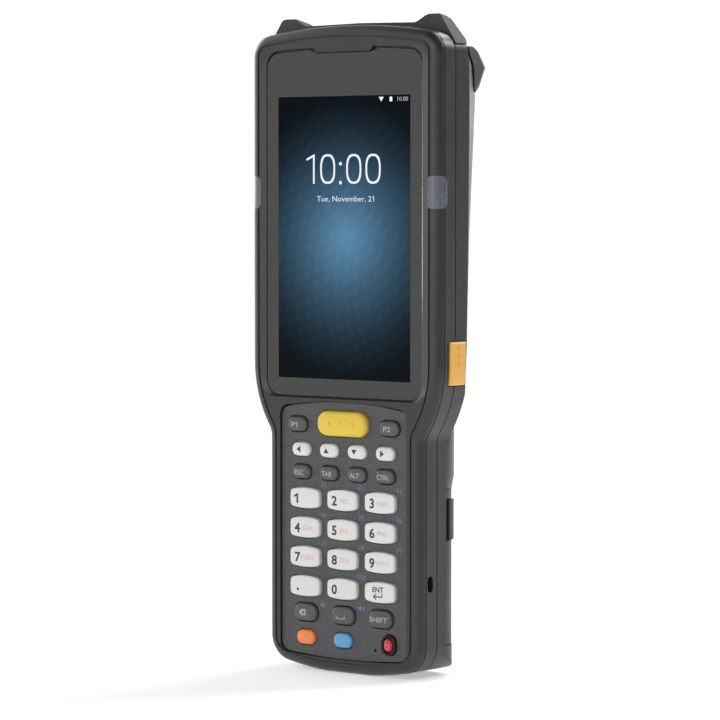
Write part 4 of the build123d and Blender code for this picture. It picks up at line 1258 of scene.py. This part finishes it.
class TERMINAL_OT_stage(bpy.types.Operator):
    """Sets the plain floor, the soft studio light and the camera"""

    bl_idname = "terminal.stage"
    bl_label = "Stage"

    def execute(self, context):
        """Builds the stage round the terminal."""
        settings = context.scene.terminal_stage
        self.floor(settings)
        self.surround(context.scene, settings)
        self.lights(settings)
        self.camera(context.scene, settings)
        return {"FINISHED"}

    def floor(self, settings):
        """Wide pale floor, lit from within."""
        mesh = bpy.data.meshes.new("floor")
        corners = [(x * FLOOR_REACH, y * FLOOR_REACH, 0)
                   for x, y in ((-1, -1), (1, -1), (1, 1), (-1, 1))]
        mesh.from_pydata(corners, [], [(0, 1, 2, 3)])
        floor = in_scene("floor", mesh)
        material, tree, shader = new_material(
            "floor_paint", settings.floor, Roughness=0.9, Specular_IOR_Level=0.0,
            Emission_Color=(1.0, 1.0, 1.0, 1), Emission_Strength=settings.table_glow)
        vary_colour(tree, shader, noise_at(tree, 300 * MM, 1.0), settings.floor, 0.004)
        mesh.materials.append(material)

    def surround(self, scene, settings):
        """Soft light from wide patches of the surround, before a plain backdrop."""
        world = bpy.data.worlds.new("surround")
        world.use_nodes = True
        tree = world.node_tree
        place = add_node(tree, "ShaderNodeTexCoord").outputs["Generated"]
        total = 0.0
        for azimuth, rise, strength in (
            (180, 12, settings.left), (-90, 12, settings.front), (100, 12, settings.rear),
            (60, 50, settings.rear_high), (145, 10, settings.backdrop),
            (-140, 30, settings.backdrop / 2),
        ):
            turn, tilt = math.radians(azimuth), math.radians(rise)
            toward = (math.cos(turn) * math.cos(tilt), math.sin(turn) * math.cos(tilt),
                      math.sin(tilt))
            facing = add_node(
                tree, "ShaderNodeVectorMath", {0: place, 1: toward}, operation="DOT_PRODUCT")
            clear = computed(tree, "MAXIMUM", facing.outputs["Value"], 0.0)
            lobe = computed(tree, "POWER", clear, LOBE_SHARPNESS)
            total = computed(tree, "MULTIPLY_ADD", lobe, strength, total)
        seen = add_node(tree, "ShaderNodeLightPath").outputs["Is Camera Ray"]
        plain = add_node(
            tree, "ShaderNodeMix", {"Factor": seen, "A": total, "B": settings.backdrop})
        feed(tree, tree.nodes["Background"], {
            "Color": (1, 1, 1, 1), "Strength": plain.outputs["Result"]})
        scene.world = world

    def lights(self, settings):
        """A strip beside the camera, and two soft lights behind the terminal."""
        for name, place, size, lean in (
            ("strip_light", (0.83, -0.724, 0.457), (0.03, 0.89), 10),
            ("side_light", (0.49, 0.95, 0.75), (0.20, 0.20), 0),
            ("back_light", (-0.04, 0.85, 0.95), (0.35, 0.35), 0),
        ):
            lamp = bpy.data.lights.new(name, "AREA")
            lamp.shape = "RECTANGLE"
            lamp.size, lamp.size_y = size
            lamp.energy = getattr(settings, name)
            holder = in_scene(name, lamp)
            holder.location = place
            facing = (LIGHTS_AIM - Vector(place)).to_track_quat("-Z", "Y")
            holder.rotation_euler = (facing @ Quaternion((0, 0, 1), math.radians(lean))).to_euler()

    def camera(self, scene, settings):
        """Camera over the right front, looking down a little at the middle of the terminal."""
        camera = bpy.data.cameras.new("camera")
        camera.lens = settings.lens
        camera.sensor_width = 36.0
        camera.clip_end = 100.0
        holder = in_scene("camera", camera)
        holder.location = CAMERA_PLACE
        holder.rotation_euler = (math.pi / 2 - CAMERA_DOWN, 0, CAMERA_TURN)
        scene.camera = holder
        scene.view_settings.view_transform = "Standard"


class TERMINAL_PT_panel(bpy.types.Panel):
    """Lists the terminal's steps and settings"""

    bl_idname = "TERMINAL_PT_panel"
    bl_label = "Data terminal"
    bl_space_type = "VIEW_3D"
    bl_region_type = "UI"
    bl_category = "Terminal"

    def draw(self, context):
        """Draws one button for each step and one field for each setting."""
        for operator in OPERATORS:
            self.layout.operator(operator.bl_idname)
        for name in SETTINGS:
            group = getattr(context.scene, name)
            for field in group.__annotations__:
                self.layout.prop(group, field)


SETTINGS = {
    "terminal_colours": TerminalColours,
    "terminal_sizes": TerminalSizes,
    "terminal_stage": TerminalStage,
}
OPERATORS = (
    TERMINAL_OT_shells,
    TERMINAL_OT_keypad_plate,
    TERMINAL_OT_keys,
    TERMINAL_OT_marks,
    TERMINAL_OT_window,
    TERMINAL_OT_fittings,
    TERMINAL_OT_stage,
)
CLASSES = (*SETTINGS.values(), *OPERATORS, TERMINAL_PT_panel)


def register():
    """Adds the settings, the operators and the panel."""
    for item in CLASSES:
        bpy.utils.register_class(item)
    for name, group in SETTINGS.items():
        setattr(bpy.types.Scene, name, PointerProperty(type=group))


def unregister():
    """Takes them away again."""
    for name in SETTINGS:
        delattr(bpy.types.Scene, name)
    for item in reversed(CLASSES):
        bpy.utils.unregister_class(item)


def main():
    """Runs every step in order."""
    register()
    for operator in OPERATORS:
        step = operator.bl_idname.split(".")[1]
        getattr(bpy.ops.terminal, step)()


if __name__ == "__main__":
    main()
